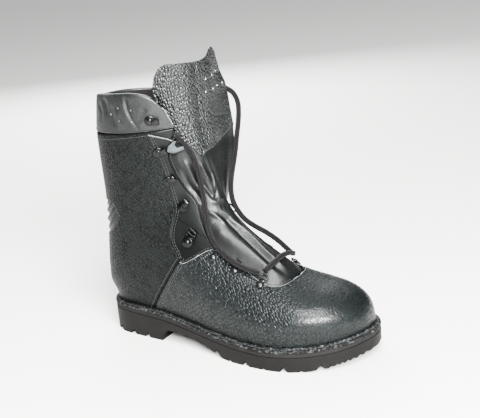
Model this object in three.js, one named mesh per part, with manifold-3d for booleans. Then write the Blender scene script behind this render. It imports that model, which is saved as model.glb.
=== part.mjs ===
// Combat boot for the right foot, standing empty with its laces undone.
// Millimetres, +X to the toe, +Y to the wearer's left (medial), +Z up.
// The origin is on the floor under the middle of the heel's tread.

import * as THREE from "three";
import { mergeVertices } from "three/addons/utils/BufferGeometryUtils.js";
import Module from "manifold-3d";

const wasm = await Module();
wasm.setup();

// Driving dimensions
const GAP = 0.3;
const WALL = 2.2;
const WELT_WIDTH = 6;
const WELT_THICK = 3.3;
const WELT_DROP = 0.5;
const WELT_LAP = 3;
const MIDSOLE_THICK = 4;
const INSOLE_RISE = 2.2;
const LUG_DEPTH = 4.5;
const NOTCH_REACH = 15;
const GROOVE_WIDTH = 6;
const TONGUE_THICK = 1.8;
const LEAF_FOOT = 298;
const LACE_DIAMETER = 5.6;
const CORD_SIDES = 8;
const QUARTER_TOP = 305;
const THROAT_CUT_DEPTH = 12;
const EDGE_SLIVER = 0.001;
const COLLAR_THICK = 4.6;
const OUTLINE_STEPS = 56;
const FEATHER_STEPS = 360;
const SOLE_REACH = 90;
const WIDEST = 0.62;
const HEEL_TURN = [246, 250];
const TOE_TURN = [45, 75];
const TOE_SWELL = 1.045;

// Sole seen from above: x, lateral y, medial y; the ends close at the heel and toe points.
const SOLE_EDGE = [
  [-39, -19, 18],
  [-24, -32, 31],
  [5, -37.5, 38],
  [40, -41, 36],
  [75, -47, 33.5],
  [110, -54.5, 36],
  [145, -61, 43.5],
  [180, -63, 54],
  [208, -57.6, 57.5],
  [233, -45.4, 54.4],
  [254, -25.3, 44.6],
  [266, -2, 28.5],
];
const HEEL_POINT = [-44, 0];
const TOE_POINT = [269, 12];

// Top of the sole under the foot: x, z.
const SEAT = [
  [-46, 35], [0, 34.5], [40, 33], [80, 29], [120, 25], [160, 23], [200, 24], [240, 27], [272, 31],
];

// Underside of the outsole: x, z. Heel, breast, arch, ball and toe spring.
const TREAD = [
  [-50, 2.5], [-36, 0], [35.5, 0], [37, 8], [44, 14], [60, 14.5], [90, 12.5], [108, 7], [124, 1],
  [134, 0], [200, 0], [222, 1.6], [240, 4], [256, 7], [275, 11],
];

// V notches in the side edges of the tread: x, width at the floor.
const NOTCHES = [[116, 9], [153, 10], [196, 10], [231, 10], [-27, 9], [-6, 9], [15, 9]];

// Grooves across the tread: x, from y, to y.
const GROOVES = [[158, -44, 34], [184, -44, 38], [209, -38, 40], [14, -20, 20], [-18, -17, 17]];

// Sections of the last, by their distance from the toe tip along the top line.
// Each lies in a plane across the boot, from the sole or back line to the top or front line:
// s, back x, back z, front x, front z, half width, height of the widest point, roundness, ridge y.
// Up to s = 246 the back point lies on the seat.
const LAST = [
  [0, 262.3, 31, 262.3, 31, 4, 0.35, 2.3, 11],
  [13, 261, 30, 261, 43, 11, 0.38, 2.3, 11],
  [26, 256, 29, 256, 53.5, 23, 0.38, 2.3, 10],
  [40, 246, 28, 246, 62, 36, 0.38, 2.3, 9],
  [57, 230, 26, 230, 69, 46.6, 0.38, 2.3, 7],
  [77, 208, 24, 210, 73.5, 53.8, 0.38, 2.25, 5],
  [98, 184, 23, 190, 79.5, 55.2, 0.36, 2.15, 3],
  [120, 156, 23, 170, 88.5, 52.8, 0.36, 2.05, 1],
  [143, 126, 25, 150, 100.5, 49, 0.38, 1.95, 0],
  [166, 92, 28, 132, 116, 46, 0.4, 1.9, 0],
  [190, 55, 32, 117, 134, 43.5, 0.42, 1.9, 0],
  [213, 18, 34, 105, 154, 42, 0.42, 1.95, 0],
  [236, -14, 35, 97, 175, 41.2, 0.4, 2, 0],
  [244, -30.5, 35, 94.5, 183, 41, 0.4, 2, 0],
  [250, -45.5, 46, 93, 189, 41, 0.4, 2, 0],
  [257, -47.3, 65, 91.5, 196, 41, 0.42, 2, 0],
  [265, -45, 89, 90, 204, 41.5, 0.44, 2.05, 0],
  [273, -41.5, 115, 88.5, 211, 42.5, 0.46, 2.05, 0],
  [281, -39, 142, 87.5, 218, 44, 0.48, 2.1, 0],
  [289, -38.2, 170, 86.5, 225, 46, 0.5, 2.1, 0],
  [297, -38, 200, 85.5, 232, 48, 0.5, 2.1, 0],
  [305, -37, 230, 84.5, 240, 50, 0.5, 2.1, 0],
  [313, -32.5, 257, 84, 250, 51, 0.5, 2.1, 0],
  [330, -24, 292, 83.5, 290, 51, 0.5, 2.1, 0],
  [360, -20, 350, 83, 347, 51, 0.5, 2.1, 0],
];

// Edge of the throat: s, v of the free edge on either side of the top line.
const THROAT = [
  [99, 0], [100.5, 0.08], [104, 0.16], [111, 0.225], [123, 0.255], [140, 0.255], [158, 0.27],
  [177, 0.3], [199, 0.295], [213, 0.27], [231, 0.235], [251, 0.255], [270, 0.31], [288, 0.33],
  [296, 0.29], [306, 0.24], [315, 0.24],
];

// Rim of the collar, going round the back from the medial to the lateral front corner: v, s.
const COLLAR_RIM = [
  [0.24, 307.5], [0.25, 310], [0.27, 312.5], [0.31, 315], [0.37, 316.5], [0.45, 317], [0.85, 317],
  [1, 317.5], [1.15, 320], [1.3, 323], [1.52, 324], [1.59, 323], [1.65, 320.5], [1.7, 317],
  [1.73, 313.5], [1.75, 310], [1.76, 307],
];

// Tongue, a soft bellows below and a broad leaf above: s, v of the lateral and medial edges, height
// over the last of the middle, lateral edge and medial edge, spread of the medial half, its width.
const TONGUE = [
  [88, 0.05, 0.05, -4.5, -4.5, -4.5, 0, 35],
  [97, 0.17, 0.17, -4.4, -4.4, -4.4, 0, 35],
  [101, 0.21, 0.21, -3, -4.4, -4.4, 0, 35],
  [106, 0.25, 0.25, 0.8, -4.2, -4.2, 0, 35],
  [114, 0.29, 0.29, 4.5, -4.2, -4.2, 0, 35],
  [126, 0.31, 0.31, 7, -4.2, -4.2, 0, 35],
  [142, 0.32, 0.32, 7.5, -4.2, -4.2, 0, 35],
  [160, 0.335, 0.335, 7, -4.2, -4.2, 0, 35],
  [178, 0.355, 0.355, 5, -4.2, -4.2, 0, 35],
  [192, 0.355, 0.355, 3.8, -4.2, -4.2, 0, 35],
  [202, 0.345, 0.3, 3.4, -4.2, -4.4, 0, 35],
  [213, 0.335, 0.2, 3.2, -4.2, -1.2, 0.05, 35],
  [222, 0.33, 0.19, 3, -4.2, 0, 0.3, 37],
  [232, 0.325, 0.19, 3, -4.2, 0, 0.65, 42],
  [244, 0.32, 0.2, 3, -4.2, 0, 0.9, 48],
  [256, 0.325, 0.2, 2.5, -4.5, 0, 1, 53],
  [270, 0.345, 0.2, 2, -6, 0, 1, 60],
  [284, 0.35, 0.2, 2, -9, 0, 1, 64],
  [298, 0.345, 0.2, 2, -13, 0, 1, 65],
  [312, 0.36, 0.2, 2, -12.5, 0, 1, 65],
  [328, 0.385, 0.2, 2, -9, 0, 1, 65],
];

// Cross section of the opened leaf: a low arch about a centre line.
const LEAF_BOW = { rise: 1.5, middle: 12, curve: 0.0011 };

// Top edge of the tongue's leaf from its lateral to its medial side: place across, s.
const LEAF_TOP = [
  [-1, 327], [-0.94, 331], [-0.85, 334], [-0.7, 335.8], [-0.45, 336.2], [-0.2, 335.8], [0, 335.3],
  [0.14, 335.3], [0.35, 336.7], [0.5, 339.6], [0.56, 340], [0.63, 338.8], [0.69, 336.8],
  [0.73, 333.7], [0.83, 328.3], [0.9, 324], [0.97, 318.5], [1, 313],
];

// Lace hooks up the facing: s, v, kind.
const HOOKS = [
  [312, 0.4, "hook"], [291, 0.385, "hook"], [267, 0.345, "hook"], [242, 0.3, "hook"], [213, 0.39, "lock"],
];

// Side profile of a hook's tab: along the boot's surface towards the throat, height.
const HOOK_CURL = [
  [0, 0.2], [5.6, 0.2], [7.4, 1.6], [8, 3.6], [7.2, 5.6], [5, 6.4], [0.6, 6],
  [0.4, 5.1], [4.6, 5.2], [6, 4.6], [6.5, 3.6], [6.1, 2.4], [5, 1.4], [0, 1.4],
];
const HOOK_WIDTH = 5.6;

// Riveted lace loops along the throat: s on the lateral side, s on the medial side, v of the rivet.
const LOOPS = [[182, 176, 0.36], [156, 150, 0.315], [126, 119, 0.285]];
const LOOP_REACH = 9.5;

// Lace strands and the bar between the lowest loops: x, y, z.
const LACE_BAR = [
  [163.5, -25.5, 92.6], [167.5, -16, 97.2], [170.5, 1, 100.5], [171.5, 16, 98.5], [171, 26, 94],
];
const LACE_LATERAL = [
  [160, -31, 91.5], [150, -35, 96], [137, -37.5, 102], [126, -37, 108.5], [117, -35.5, 115.5],
  [109.5, -34, 124], [104.5, -32, 134.5], [101.5, -29, 146], [99, -26, 157.5], [96.5, -23, 169.5],
  [93.5, -20.5, 181.5], [90.5, -19, 193], [87.5, -18.8, 203.5], [84, -20, 212.5], [79.5, -22, 220.5],
  [75, -24, 226.5], [70.5, -26, 231.5], [67, -28, 235],
];
const LACE_MEDIAL = [
  [165.5, 34.5, 90], [157, 36.5, 95], [148, 35, 103.5], [138.5, 29.5, 113], [129, 22, 122],
  [121.5, 15, 131.5], [114.5, 12.5, 142.5], [109, 13.5, 154], [105.5, 18.5, 165], [103.5, 26, 176.5],
  [102, 34.5, 187.5], [100.5, 43, 199], [98.5, 51, 210.5], [97, 58.5, 222], [95, 65.5, 233.5],
  [91.5, 71.5, 244.5], [85, 74, 254], [76.5, 71.5, 260], [69, 65.5, 261], [62.5, 58, 258],
];

const BLACK_LEATHER = { color: 0x1b1d1f, roughness: 0.45, metalness: 0 };
const SMOOTH_LEATHER = { color: 0x191b1c, roughness: 0.38, metalness: 0 };
const RUBBER = { color: 0x1f1d20, roughness: 0.7, metalness: 0 };
const LINING = { color: 0x3a3a38, roughness: 0.9, metalness: 0 };
const BLACK_METAL = { color: 0x26272a, roughness: 0.35, metalness: 0.9 };
const CORD = { color: 0x2c292c, roughness: 0.85, metalness: 0 };

// Value of a table's column at a station, on a smooth curve through its rows.
function along(table, column, station) {
  const last = table.length - 2;
  let i = 0;
  while (i < last && table[i + 1][0] < station) i += 1;
  const slope = (k) => (table[k + 1][column] - table[k][column]) / (table[k + 1][0] - table[k][0]);
  const span = (k) => table[k + 1][0] - table[k][0];
  const tangent = (k) => {
    if (k === 0) return slope(0);
    if (k === table.length - 1) return slope(k - 1);
    return (slope(k - 1) * span(k) + slope(k) * span(k - 1)) / (span(k - 1) + span(k));
  };
  const t = THREE.MathUtils.clamp((station - table[i][0]) / span(i), 0, 1);
  const [a, b] = [table[i][column], table[i + 1][column]];
  return a + (b - a) * t * t * (3 - 2 * t)
    + span(i) * (t * (1 - t) * (1 - t) * tangent(i) - t * t * (1 - t) * tangent(i + 1));
}

const seatZ = (x) => along(SEAT, 1, x);

// Sole outline, going round from the heel along the lateral side.
function soleOutline(count) {
  const lateral = SOLE_EDGE.map(([x, y]) => [x, y]);
  const medial = SOLE_EDGE.map(([x, , y]) => [x, y]).reverse();
  const plan = [HEEL_POINT, ...lateral, TOE_POINT, ...medial];
  const points = plan.map(([x, y]) => new THREE.Vector3(x, y, 0));
  const curve = new THREE.CatmullRomCurve3(points, true, "centripetal");
  return curve.getSpacedPoints(count).slice(0, count).map((p) => new THREE.Vector2(p.x, p.y));
}

// The outline moved inwards by a distance.
function inset(outline, distance) {
  const count = outline.length;
  return outline.map((p, i) => {
    const before = outline[(i + count - 1) % count];
    const after = outline[(i + 1) % count];
    const run = after.clone().sub(before).normalize();
    return new THREE.Vector2(p.x - run.y * distance, p.y + run.x * distance);
  });
}

const FEATHER = inset(soleOutline(FEATHER_STEPS), WELT_WIDTH);

// Middle and half width of the feather line, where the upper meets the sole, at x.
function featherAt(x) {
  const ys = [];
  FEATHER.forEach((a, i) => {
    const b = FEATHER[(i + 1) % FEATHER.length];
    const crosses = (a.x - x) * (b.x - x) <= 0 && a.x !== b.x;
    if (crosses) ys.push(a.y + ((b.y - a.y) * (x - a.x)) / (b.x - a.x));
  });
  if (ys.length < 2) return { middle: 0, half: 0 };
  const [low, high] = [Math.min(...ys), Math.max(...ys)];
  return { middle: (low + high) / 2, half: (high - low) / 2 };
}

// One section of the last, from its table.
function section(s) {
  const [backX, backZ, frontX, frontZ, side, widest, round, ridge] =
    [1, 2, 3, 4, 5, 6, 7, 8].map((column) => along(LAST, column, s));
  const turn = THREE.MathUtils.clamp((s - HEEL_TURN[0]) / (HEEL_TURN[1] - HEEL_TURN[0]), 0, 1);
  const foot = s < HEEL_TURN[1] ? featherAt(backX) : { middle: 0, half: 0 };
  const toe = 1 - THREE.MathUtils.smoothstep(s, TOE_TURN[0], TOE_TURN[1]);
  return {
    back: new THREE.Vector2(backX, seatZ(backX) * (1 - turn) + backZ * turn),
    front: new THREE.Vector2(frontX, frontZ),
    half: side + (foot.half * TOE_SWELL - side) * toe,
    foot,
    widest,
    round,
    ridge,
  };
}

const sections = new Map();

// A point on the last. v runs across from the lateral feather (-1) over the top (0) to the medial
// feather (1); above the heel both ends meet on the back line, and v goes on round it.
function lastPoint(s, across) {
  if (!sections.has(s)) sections.set(s, section(s));
  const { back, front, half, foot, widest, round, ridge } = sections.get(s);
  const v = Math.abs(across) > 1 ? across - 2 * Math.sign(across) : across;
  const a = Math.abs(v);
  let height;
  let y;
  if (a <= WIDEST) {
    const angle = (a / WIDEST) * (Math.PI / 2);
    height = widest + (1 - widest) * Math.cos(angle) ** (2 / round);
    y = half * Math.sin(angle) ** (2 / round);
  } else {
    const down = (a - WIDEST) / (1 - WIDEST);
    const flat = Math.min(1, foot.half / half);
    const drop = flat * down + (1 - flat) * Math.sin((down * Math.PI) / 2);
    height = widest * (1 - drop);
    y = foot.half + (half - foot.half) * Math.max(0, 1 - drop * drop) ** (0.5 + 0.5 * flat);
  }
  return new THREE.Vector3(
    back.x + (front.x - back.x) * height,
    foot.middle * (1 - height) + ridge * height + Math.sign(v) * y,
    back.y + (front.y - back.y) * height,
  );
}

// Outward direction of the last at a point.
function lastNormal(s, v) {
  const step = 0.01;
  const foot = s < HEEL_TURN[1];
  const low = foot ? Math.max(-1, v - step) : v - step;
  const high = foot ? Math.min(1, v + step) : v + step;
  const runS = lastPoint(s + 1, v).sub(lastPoint(Math.max(0, s - 1), v));
  const runV = lastPoint(s, high).sub(lastPoint(s, low));
  return runV.cross(runS).normalize();
}

const skin = (s, v, offset) => lastPoint(s, v).addScaledVector(lastNormal(s, v), offset);

// Volume enclosed by triangles, below zero where their faces point in.
function volume(points, triangles) {
  const wedge = ([a, b, c]) => points[a].dot(points[b].clone().cross(points[c])) / 6;
  return triangles.reduce((sum, triangle) => sum + wedge(triangle), 0);
}

// A closed solid from points and triangles, with equal points joined and faces turned out.
function closedSolid(points, triangles) {
  const outward = volume(points, triangles) > 0 ? triangles : triangles.map(([a, b, c]) => [a, c, b]);
  const geometry = new THREE.BufferGeometry().setFromPoints(points);
  geometry.setIndex(outward.flat());
  return toManifold(geometry);
}

function toManifold(source) {
  const plain = source.clone();
  plain.deleteAttribute("normal");
  plain.deleteAttribute("uv");
  const merged = mergeVertices(plain, 1e-3);
  const index = merged.getIndex().array;
  const kept = [];
  for (let i = 0; i < index.length; i += 3) {
    const [a, b, c] = [index[i], index[i + 1], index[i + 2]];
    if (a !== b && b !== c && c !== a) kept.push(a, b, c);
  }
  return new wasm.Manifold(new wasm.Mesh({
    numProp: 3,
    vertProperties: Float32Array.from(merged.getAttribute("position").array),
    triVerts: Uint32Array.from(kept),
  }));
}

function toGeometry(solid) {
  const mesh = solid.getMesh();
  const geometry = new THREE.BufferGeometry();
  const positions = new THREE.BufferAttribute(Float32Array.from(mesh.vertProperties), 3);
  geometry.setAttribute("position", positions);
  geometry.setIndex(Array.from(mesh.triVerts));
  geometry.computeVertexNormals();
  return geometry;
}

// Quads between two rows of point numbers.
function strip(rowA, rowB) {
  const faces = [];
  for (let j = 0; j + 1 < rowA.length; j += 1) {
    faces.push([rowA[j], rowA[j + 1], rowB[j + 1]], [rowA[j], rowB[j + 1], rowB[j]]);
  }
  return faces;
}

// A solid through rings of equal count, closed at both ends.
function loft(rings) {
  const count = rings[0].length;
  const points = rings.flat();
  const row = (i) => Array.from({ length: count + 1 }, (_, j) => i * count + (j % count));
  const faces = rings.slice(1).flatMap((_, i) => strip(row(i), row(i + 1)));
  for (const [i, turn] of [[0, 1], [rings.length - 1, -1]]) {
    const middle = rings[i].reduce((sum, p) => sum.add(p), new THREE.Vector3()).divideScalar(count);
    points.push(middle);
    const hub = points.length - 1;
    const edge = row(i);
    for (let j = 0; j < count; j += 1) {
      faces.push(turn > 0 ? [hub, edge[j + 1], edge[j]] : [hub, edge[j], edge[j + 1]]);
    }
  }
  return closedSolid(points, faces);
}

// A closed sheet between two grids of points with equal rows and columns.
function sheet(gridA, gridB) {
  const rows = gridA.length;
  const columns = gridA[0].length;
  const points = [...gridA.flat(), ...gridB.flat()];
  const number = (side, i, j) => (side * rows + i) * columns + j;
  const row = (side, i) => Array.from({ length: columns }, (_, j) => number(side, i, j));
  const column = (side, j) => Array.from({ length: rows }, (_, i) => number(side, i, j));
  const faces = [];
  for (let i = 0; i + 1 < rows; i += 1) {
    faces.push(...strip(row(0, i), row(0, i + 1)));
    faces.push(...strip(row(1, i + 1), row(1, i)));
  }
  faces.push(...strip(row(1, 0), row(0, 0)));
  faces.push(...strip(row(0, rows - 1), row(1, rows - 1)));
  faces.push(...strip(column(0, 0), column(1, 0)));
  faces.push(...strip(column(1, columns - 1), column(0, columns - 1)));
  return closedSolid(points, faces);
}

// A sheet that follows the last, from one v to another at each station.
function lastSheet({ stations, from, to, columns, inner, outer }) {
  const grid = (offset) => stations.map((s) => Array.from({ length: columns + 1 }, (_, j) => {
    const v = from(s) + ((to(s) - from(s)) * j) / columns;
    return skin(s, v, offset(s));
  }));
  return sheet(grid(outer), grid(inner));
}

function steps(from, to, count) {
  return Array.from({ length: count + 1 }, (_, i) => from + ((to - from) * i) / count);
}

// An upright prism from a plan outline.
function prism(outline, low, high) {
  return toManifold(extruded(outline, high - low).translate(0, 0, low));
}

function extruded(outline, depth) {
  return new THREE.ExtrudeGeometry(new THREE.Shape(outline), { depth, bevelEnabled: false });
}

// A solid across the whole boot from a side profile of x and z.
function crossPrism(profile, halfWidth) {
  const outline = profile.map(([x, z]) => new THREE.Vector2(x, z));
  const geometry = extruded(outline, 2 * halfWidth);
  return toManifold(geometry.rotateX(Math.PI / 2).translate(0, halfWidth, 0));
}

// A layer of the sole between two depths under the seat.
function seatLayer(outline, top, bottom) {
  const profile = [...seatLine(bottom), ...seatLine(top).reverse()];
  return slab(outline).intersect(crossPrism(profile, SOLE_REACH));
}

// The seat's profile lowered by a depth.
function seatLine(depth) {
  return steps(SEAT[0][0], SEAT[SEAT.length - 1][0], 22).map((x) => [x, seatZ(x) - depth]);
}

// A plan outline made taller than the whole sole.
function slab(outline) {
  return prism(outline, -SOLE_REACH, SOLE_REACH);
}

// Upper: vamp and quarters as one hollow shell, open at the throat, the top and underneath.
function upperSolid() {
  const stations = [
    0, 5, 12, 20, 30, 41, 54, 68, 83, 98, 113, 128, 143, 159, 175, 191, 206, 220, 232, 241, 246, 250,
    255, 262, 270, 279, 288, 297, QUARTER_TOP,
  ];
  const across = steps(-1, 1, 30);
  const outer = loft(stations.map((s) => across.map((v) => lastPoint(s, v))));
  const hollow = [7, ...stations.slice(2), 312].map((s) => {
    const ring = across.map((v) => skin(s, v, -WALL));
    return s < HEEL_TURN[1] ? dropEnds(ring) : ring;
  });
  return outer.subtract(loft(hollow)).subtract(throatCutter());
}

// Lets the feather ends of a hollow's section reach through the bottom of the shell.
function dropEnds(ring) {
  const below = 6;
  ring[0].z -= below;
  ring[ring.length - 1].z -= below;
  return ring;
}

// Everything between the two throat edges, from above the skin to below it.
function throatCutter() {
  return lastSheet({
    stations: [99, 100.5, 102.5, 105, 109, 114, ...steps(122, 288, 13), 294, 300, 306, 312],
    from: (s) => -along(THROAT, 1, s) - EDGE_SLIVER,
    to: (s) => along(THROAT, 1, s) + EDGE_SLIVER,
    columns: 10,
    inner: () => -THROAT_CUT_DEPTH,
    outer: () => THROAT_CUT_DEPTH,
  });
}

// Collar: a soft cuff round the top of the shaft, with rounded front corners.
function collarSolid() {
  const [start, end] = [COLLAR_RIM[0][0], COLLAR_RIM[COLLAR_RIM.length - 1][0]];
  const corner = [0, 0.01, 0.025, 0.045, 0.07, 0.105, 0.15];
  const across = [
    ...corner.map((d) => start + d),
    ...steps(start + 0.21, end - 0.21, 23),
    ...corner.map((d) => end - d).reverse(),
  ];
  const foot = QUARTER_TOP + GAP;
  const layer = (body, lip) => [0, 0.3, 0.6, 0.86, 1].map((t) => across.map((v) => {
    const s = foot + (along(COLLAR_RIM, 1, v) - foot) * t;
    return skin(s, v, t === 1 ? lip : body);
  }));
  return sheet(layer(0.6, -0.3), layer(-COLLAR_THICK, 0.9 - COLLAR_THICK));
}

// A point of the tongue: u runs across it, the medial half opens out flat as it rises.
function tonguePoint(u, s, depth) {
  const [lateralV, medialV, middle, lateralRise, medialRise, spread, width] =
    [1, 2, 3, 4, 5, 6, 7].map((column) => along(TONGUE, column, s));
  const [edge, rise] = u < 0 ? [lateralV, lateralRise] : [medialV, medialRise];
  const crown = (1 - u * u) ** 2;
  const folded = skin(s, u * edge, rise + (middle - rise) * crown - depth);
  if (u <= 0) return folded;
  const y = u * width;
  const bow = LEAF_BOW.rise - LEAF_BOW.curve * (y - LEAF_BOW.middle) ** 2;
  const open = new THREE.Vector3(along(LAST, 3, s) + middle + bow * spread - depth, y, along(LAST, 4, s));
  return folded.lerp(open, spread * THREE.MathUtils.smoothstep(u, 0, 0.15));
}

// Tongue: a bellows of soft leather under the throat, and a stiffer leaf above it.
function tongueSolid() {
  const lateral = [-1, -0.94, -0.82, -0.64, -0.44, -0.22, 0];
  const medial = [0.08, 0.18, 0.34, 0.48, 0.56, 0.64, 0.73, 0.83, 0.92, 1];
  const across = [...lateral, ...medial];
  const lower = TONGUE.map(([s]) => s).filter((s) => s <= LEAF_FOOT);
  const leafStation = (u, t) => LEAF_FOOT + (along(LEAF_TOP, 1, u) - LEAF_FOOT) * t;
  const layer = (depth) => [
    ...lower.map((s) => across.map((u) => tonguePoint(u, s, depth))),
    ...[0.3, 0.6, 0.82, 1].map((t) => across.map((u) => tonguePoint(u, leafStation(u, t), depth))),
  ];
  return sheet(layer(0), layer(TONGUE_THICK));
}

// Insole: the footbed inside the upper.
function insoleSolid() {
  const edge = inset(soleOutline(OUTLINE_STEPS), WELT_WIDTH + WELT_LAP + 1);
  return seatLayer(edge, -INSOLE_RISE, WELT_THICK);
}

// Welt: the stitched strip round the upper, on top of the midsole.
function weltSolid() {
  const edge = soleOutline(OUTLINE_STEPS);
  const ring = seatLayer(edge, WELT_DROP, WELT_THICK + GAP);
  return ring.subtract(prism(inset(edge, WELT_WIDTH + WELT_LAP), -SOLE_REACH - 1, SOLE_REACH + 1));
}

function midsoleSolid() {
  const top = WELT_THICK + 2 * GAP;
  return seatLayer(inset(soleOutline(OUTLINE_STEPS), 0.8), top, top + MIDSOLE_THICK);
}

// Outsole: one rubber piece with its heel, arch, toe spring and lugs.
function outsoleSolid() {
  const top = WELT_THICK + MIDSOLE_THICK + 3 * GAP;
  const profile = [...TREAD, ...seatLine(top).reverse()];
  let body = slab(soleOutline(OUTLINE_STEPS)).intersect(crossPrism(profile, SOLE_REACH));
  for (const [x, width] of NOTCHES) body = body.subtract(notch(x, width));
  for (const [x, low, high] of GROOVES) body = body.subtract(groove(x, low, high));
  return body;
}

// A pair of V notches in the two side edges of the tread at x.
function notch(x, width) {
  const floor = along(TREAD, 1, x);
  const mouth = width / 2 + 1;
  const root = width * 0.12;
  const outline = [
    new THREE.Vector2(-mouth, floor - 3),
    new THREE.Vector2(mouth, floor - 3),
    new THREE.Vector2(root, floor + LUG_DEPTH),
    new THREE.Vector2(-root, floor + LUG_DEPTH),
  ];
  const wedge = extruded(outline, 2 * NOTCH_REACH).rotateX(Math.PI / 2);
  const lateral = wedge.clone().translate(x, along(SOLE_EDGE, 1, x) + NOTCH_REACH, 0);
  const medial = wedge.clone().translate(x, along(SOLE_EDGE, 2, x) + NOTCH_REACH, 0);
  return toManifold(lateral).add(toManifold(medial));
}

// A straight groove across the tread between two y.
function groove(x, low, high) {
  const box = new THREE.BoxGeometry(GROOVE_WIDTH, high - low, 2 * LUG_DEPTH);
  return toManifold(box.translate(x, (low + high) / 2, along(TREAD, 1, x)));
}

// Local frame on the boot: x towards the throat, z out of the surface.
function frameAt(s, v, lift) {
  const out = lastNormal(s, v);
  const toThroat = lastPoint(s, v * 0.9).sub(lastPoint(s, v));
  toThroat.addScaledVector(out, -toThroat.dot(out)).normalize();
  const side = out.clone().cross(toThroat);
  const place = lastPoint(s, v).addScaledVector(out, lift);
  return new THREE.Matrix4().makeBasis(toThroat, side, out).setPosition(place);
}

// A lace hook: a round foot under a rivet, and a tab that curls back over the lace.
function hookSolid() {
  const foot = cylinder(5, 5.4, 1.2, 10).translate(-2, 0, 0.6);
  const rivet = cylinder(1.6, 3, 1.4, 6).translate(-2, 0, 1.8);
  const curl = HOOK_CURL.map(([x, z]) => new THREE.Vector2(x, z));
  const tab = extruded(curl, HOOK_WIDTH).rotateX(Math.PI / 2).translate(0, HOOK_WIDTH / 2, 0);
  return toManifold(foot).add(toManifold(rivet)).add(toManifold(tab));
}

// An upright cylinder or cone frustum.
function cylinder(top, bottom, height, sides) {
  return new THREE.CylinderGeometry(top, bottom, height, sides).rotateX(Math.PI / 2);
}

// The locking hook at the ankle: a longer base with a square wire bow over its front end.
function lockHookSolid() {
  const base = new THREE.BoxGeometry(17, 8.4, 1.6).translate(0, 0, 0.8);
  const cheek = new THREE.BoxGeometry(7, 1.5, 5).translate(4.5, 0, 3);
  const near = cheek.clone().translate(0, 2.9, 0);
  const far = cheek.clone().translate(0, -2.9, 0);
  const rivet = cylinder(2, 3.6, 2.2, 10).translate(-4.2, 0, 2.4);
  const bow = squareBow(8.4, 9, 1.7).translate([9.5, 0, 5]);
  return [near, far, rivet].reduce((sum, piece) => sum.add(toManifold(piece)), toManifold(base)).add(bow);
}

// A flat square ring, its hole along z.
function squareBow(length, width, wire) {
  const block = toManifold(new THREE.BoxGeometry(length, width, wire));
  return block.subtract(toManifold(new THREE.BoxGeometry(length - 2 * wire, width - 2 * wire, wire * 3)));
}

// A lace loop: a domed rivet, a strap plate and a square bow that stands at the throat's edge.
function loopSolid() {
  const plate = new THREE.BoxGeometry(8, 4.4, 0.8).translate(4, 0, 0.4);
  const bow = squareBow(6.6, 8.2, 1.5).rotate([0, -10, 0]).translate([LOOP_REACH, 0, 1.3]);
  return domedRivet(3.9, 2.8).add(toManifold(plate)).add(bow);
}

function domedRivet(radius, height) {
  const shoulder = height * 0.25;
  const arc = steps(0, Math.PI / 2, 3).slice(0, -1).map((angle) => {
    return [radius * Math.cos(angle), shoulder + (height - shoulder) * Math.sin(angle)];
  });
  const profile = [[0, 0], [radius, 0], ...arc, [0, height]];
  const lathe = new THREE.LatheGeometry(profile.map(([x, y]) => new THREE.Vector2(x, y)), 10);
  return toManifold(lathe.rotateX(Math.PI / 2));
}

// A round cord along points.
function cordSolid(points, stepCount) {
  const line = points.map(([x, y, z]) => new THREE.Vector3(x, y, z));
  const curve = new THREE.CatmullRomCurve3(line, false, "centripetal");
  const ring = new THREE.Shape(Array.from({ length: CORD_SIDES }, (_, i) => {
    const angle = (i * 2 * Math.PI) / CORD_SIDES;
    return new THREE.Vector2(Math.cos(angle), Math.sin(angle)).multiplyScalar(LACE_DIAMETER / 2);
  }));
  const options = { extrudePath: curve, steps: stepCount, bevelEnabled: false };
  return toManifold(new THREE.ExtrudeGeometry(ring, options));
}

const boot = new THREE.Group();

function addPart(name, solid, finish) {
  const mesh = new THREE.Mesh(toGeometry(solid), new THREE.MeshStandardMaterial(finish));
  mesh.name = name;
  boot.add(mesh);
  return mesh;
}

function addFitting(name, solid, s, v, lift) {
  const mesh = addPart(name, solid, BLACK_METAL);
  mesh.applyMatrix4(frameAt(s, v, lift));
}

addPart("outsole", outsoleSolid(), RUBBER);
addPart("midsole", midsoleSolid(), RUBBER);
addPart("welt", weltSolid(), RUBBER);
addPart("insole", insoleSolid(), LINING);
addPart("upper", upperSolid(), BLACK_LEATHER);
addPart("collar", collarSolid(), SMOOTH_LEATHER);
addPart("tongue", tongueSolid(), SMOOTH_LEATHER);

for (const [side, sign] of [["lateral", -1], ["medial", 1]]) {
  HOOKS.forEach(([s, v, kind], i) => {
    const solid = kind === "lock" ? lockHookSolid() : hookSolid();
    const lift = s > QUARTER_TOP ? 1.2 : 0.6;
    addFitting(`${kind}_${side}_${i + 1}`, solid, s, sign * v, lift);
  });
  LOOPS.forEach(([lateralS, medialS, v], i) => {
    addFitting(`lace_loop_${side}_${i + 1}`, loopSolid(), sign < 0 ? lateralS : medialS, sign * v, 0.6);
  });
}

addPart("lace_bar", cordSolid(LACE_BAR, 12), CORD);
addPart("lace_lateral", cordSolid(LACE_LATERAL, 26), CORD);
addPart("lace_medial", cordSolid(LACE_MEDIAL, 36), CORD);

export default boot;
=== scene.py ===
"""Combat boot for the right foot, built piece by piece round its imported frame.

The frame holds every piece's real place and size. This script gives each piece its leather, rubber,
metal or cord, with the panels, seams, folds and padding that the plain solids leave out.
"""

import math

import bmesh
import bpy
import numpy as np
from mathutils import Matrix, Vector, kdtree


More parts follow.
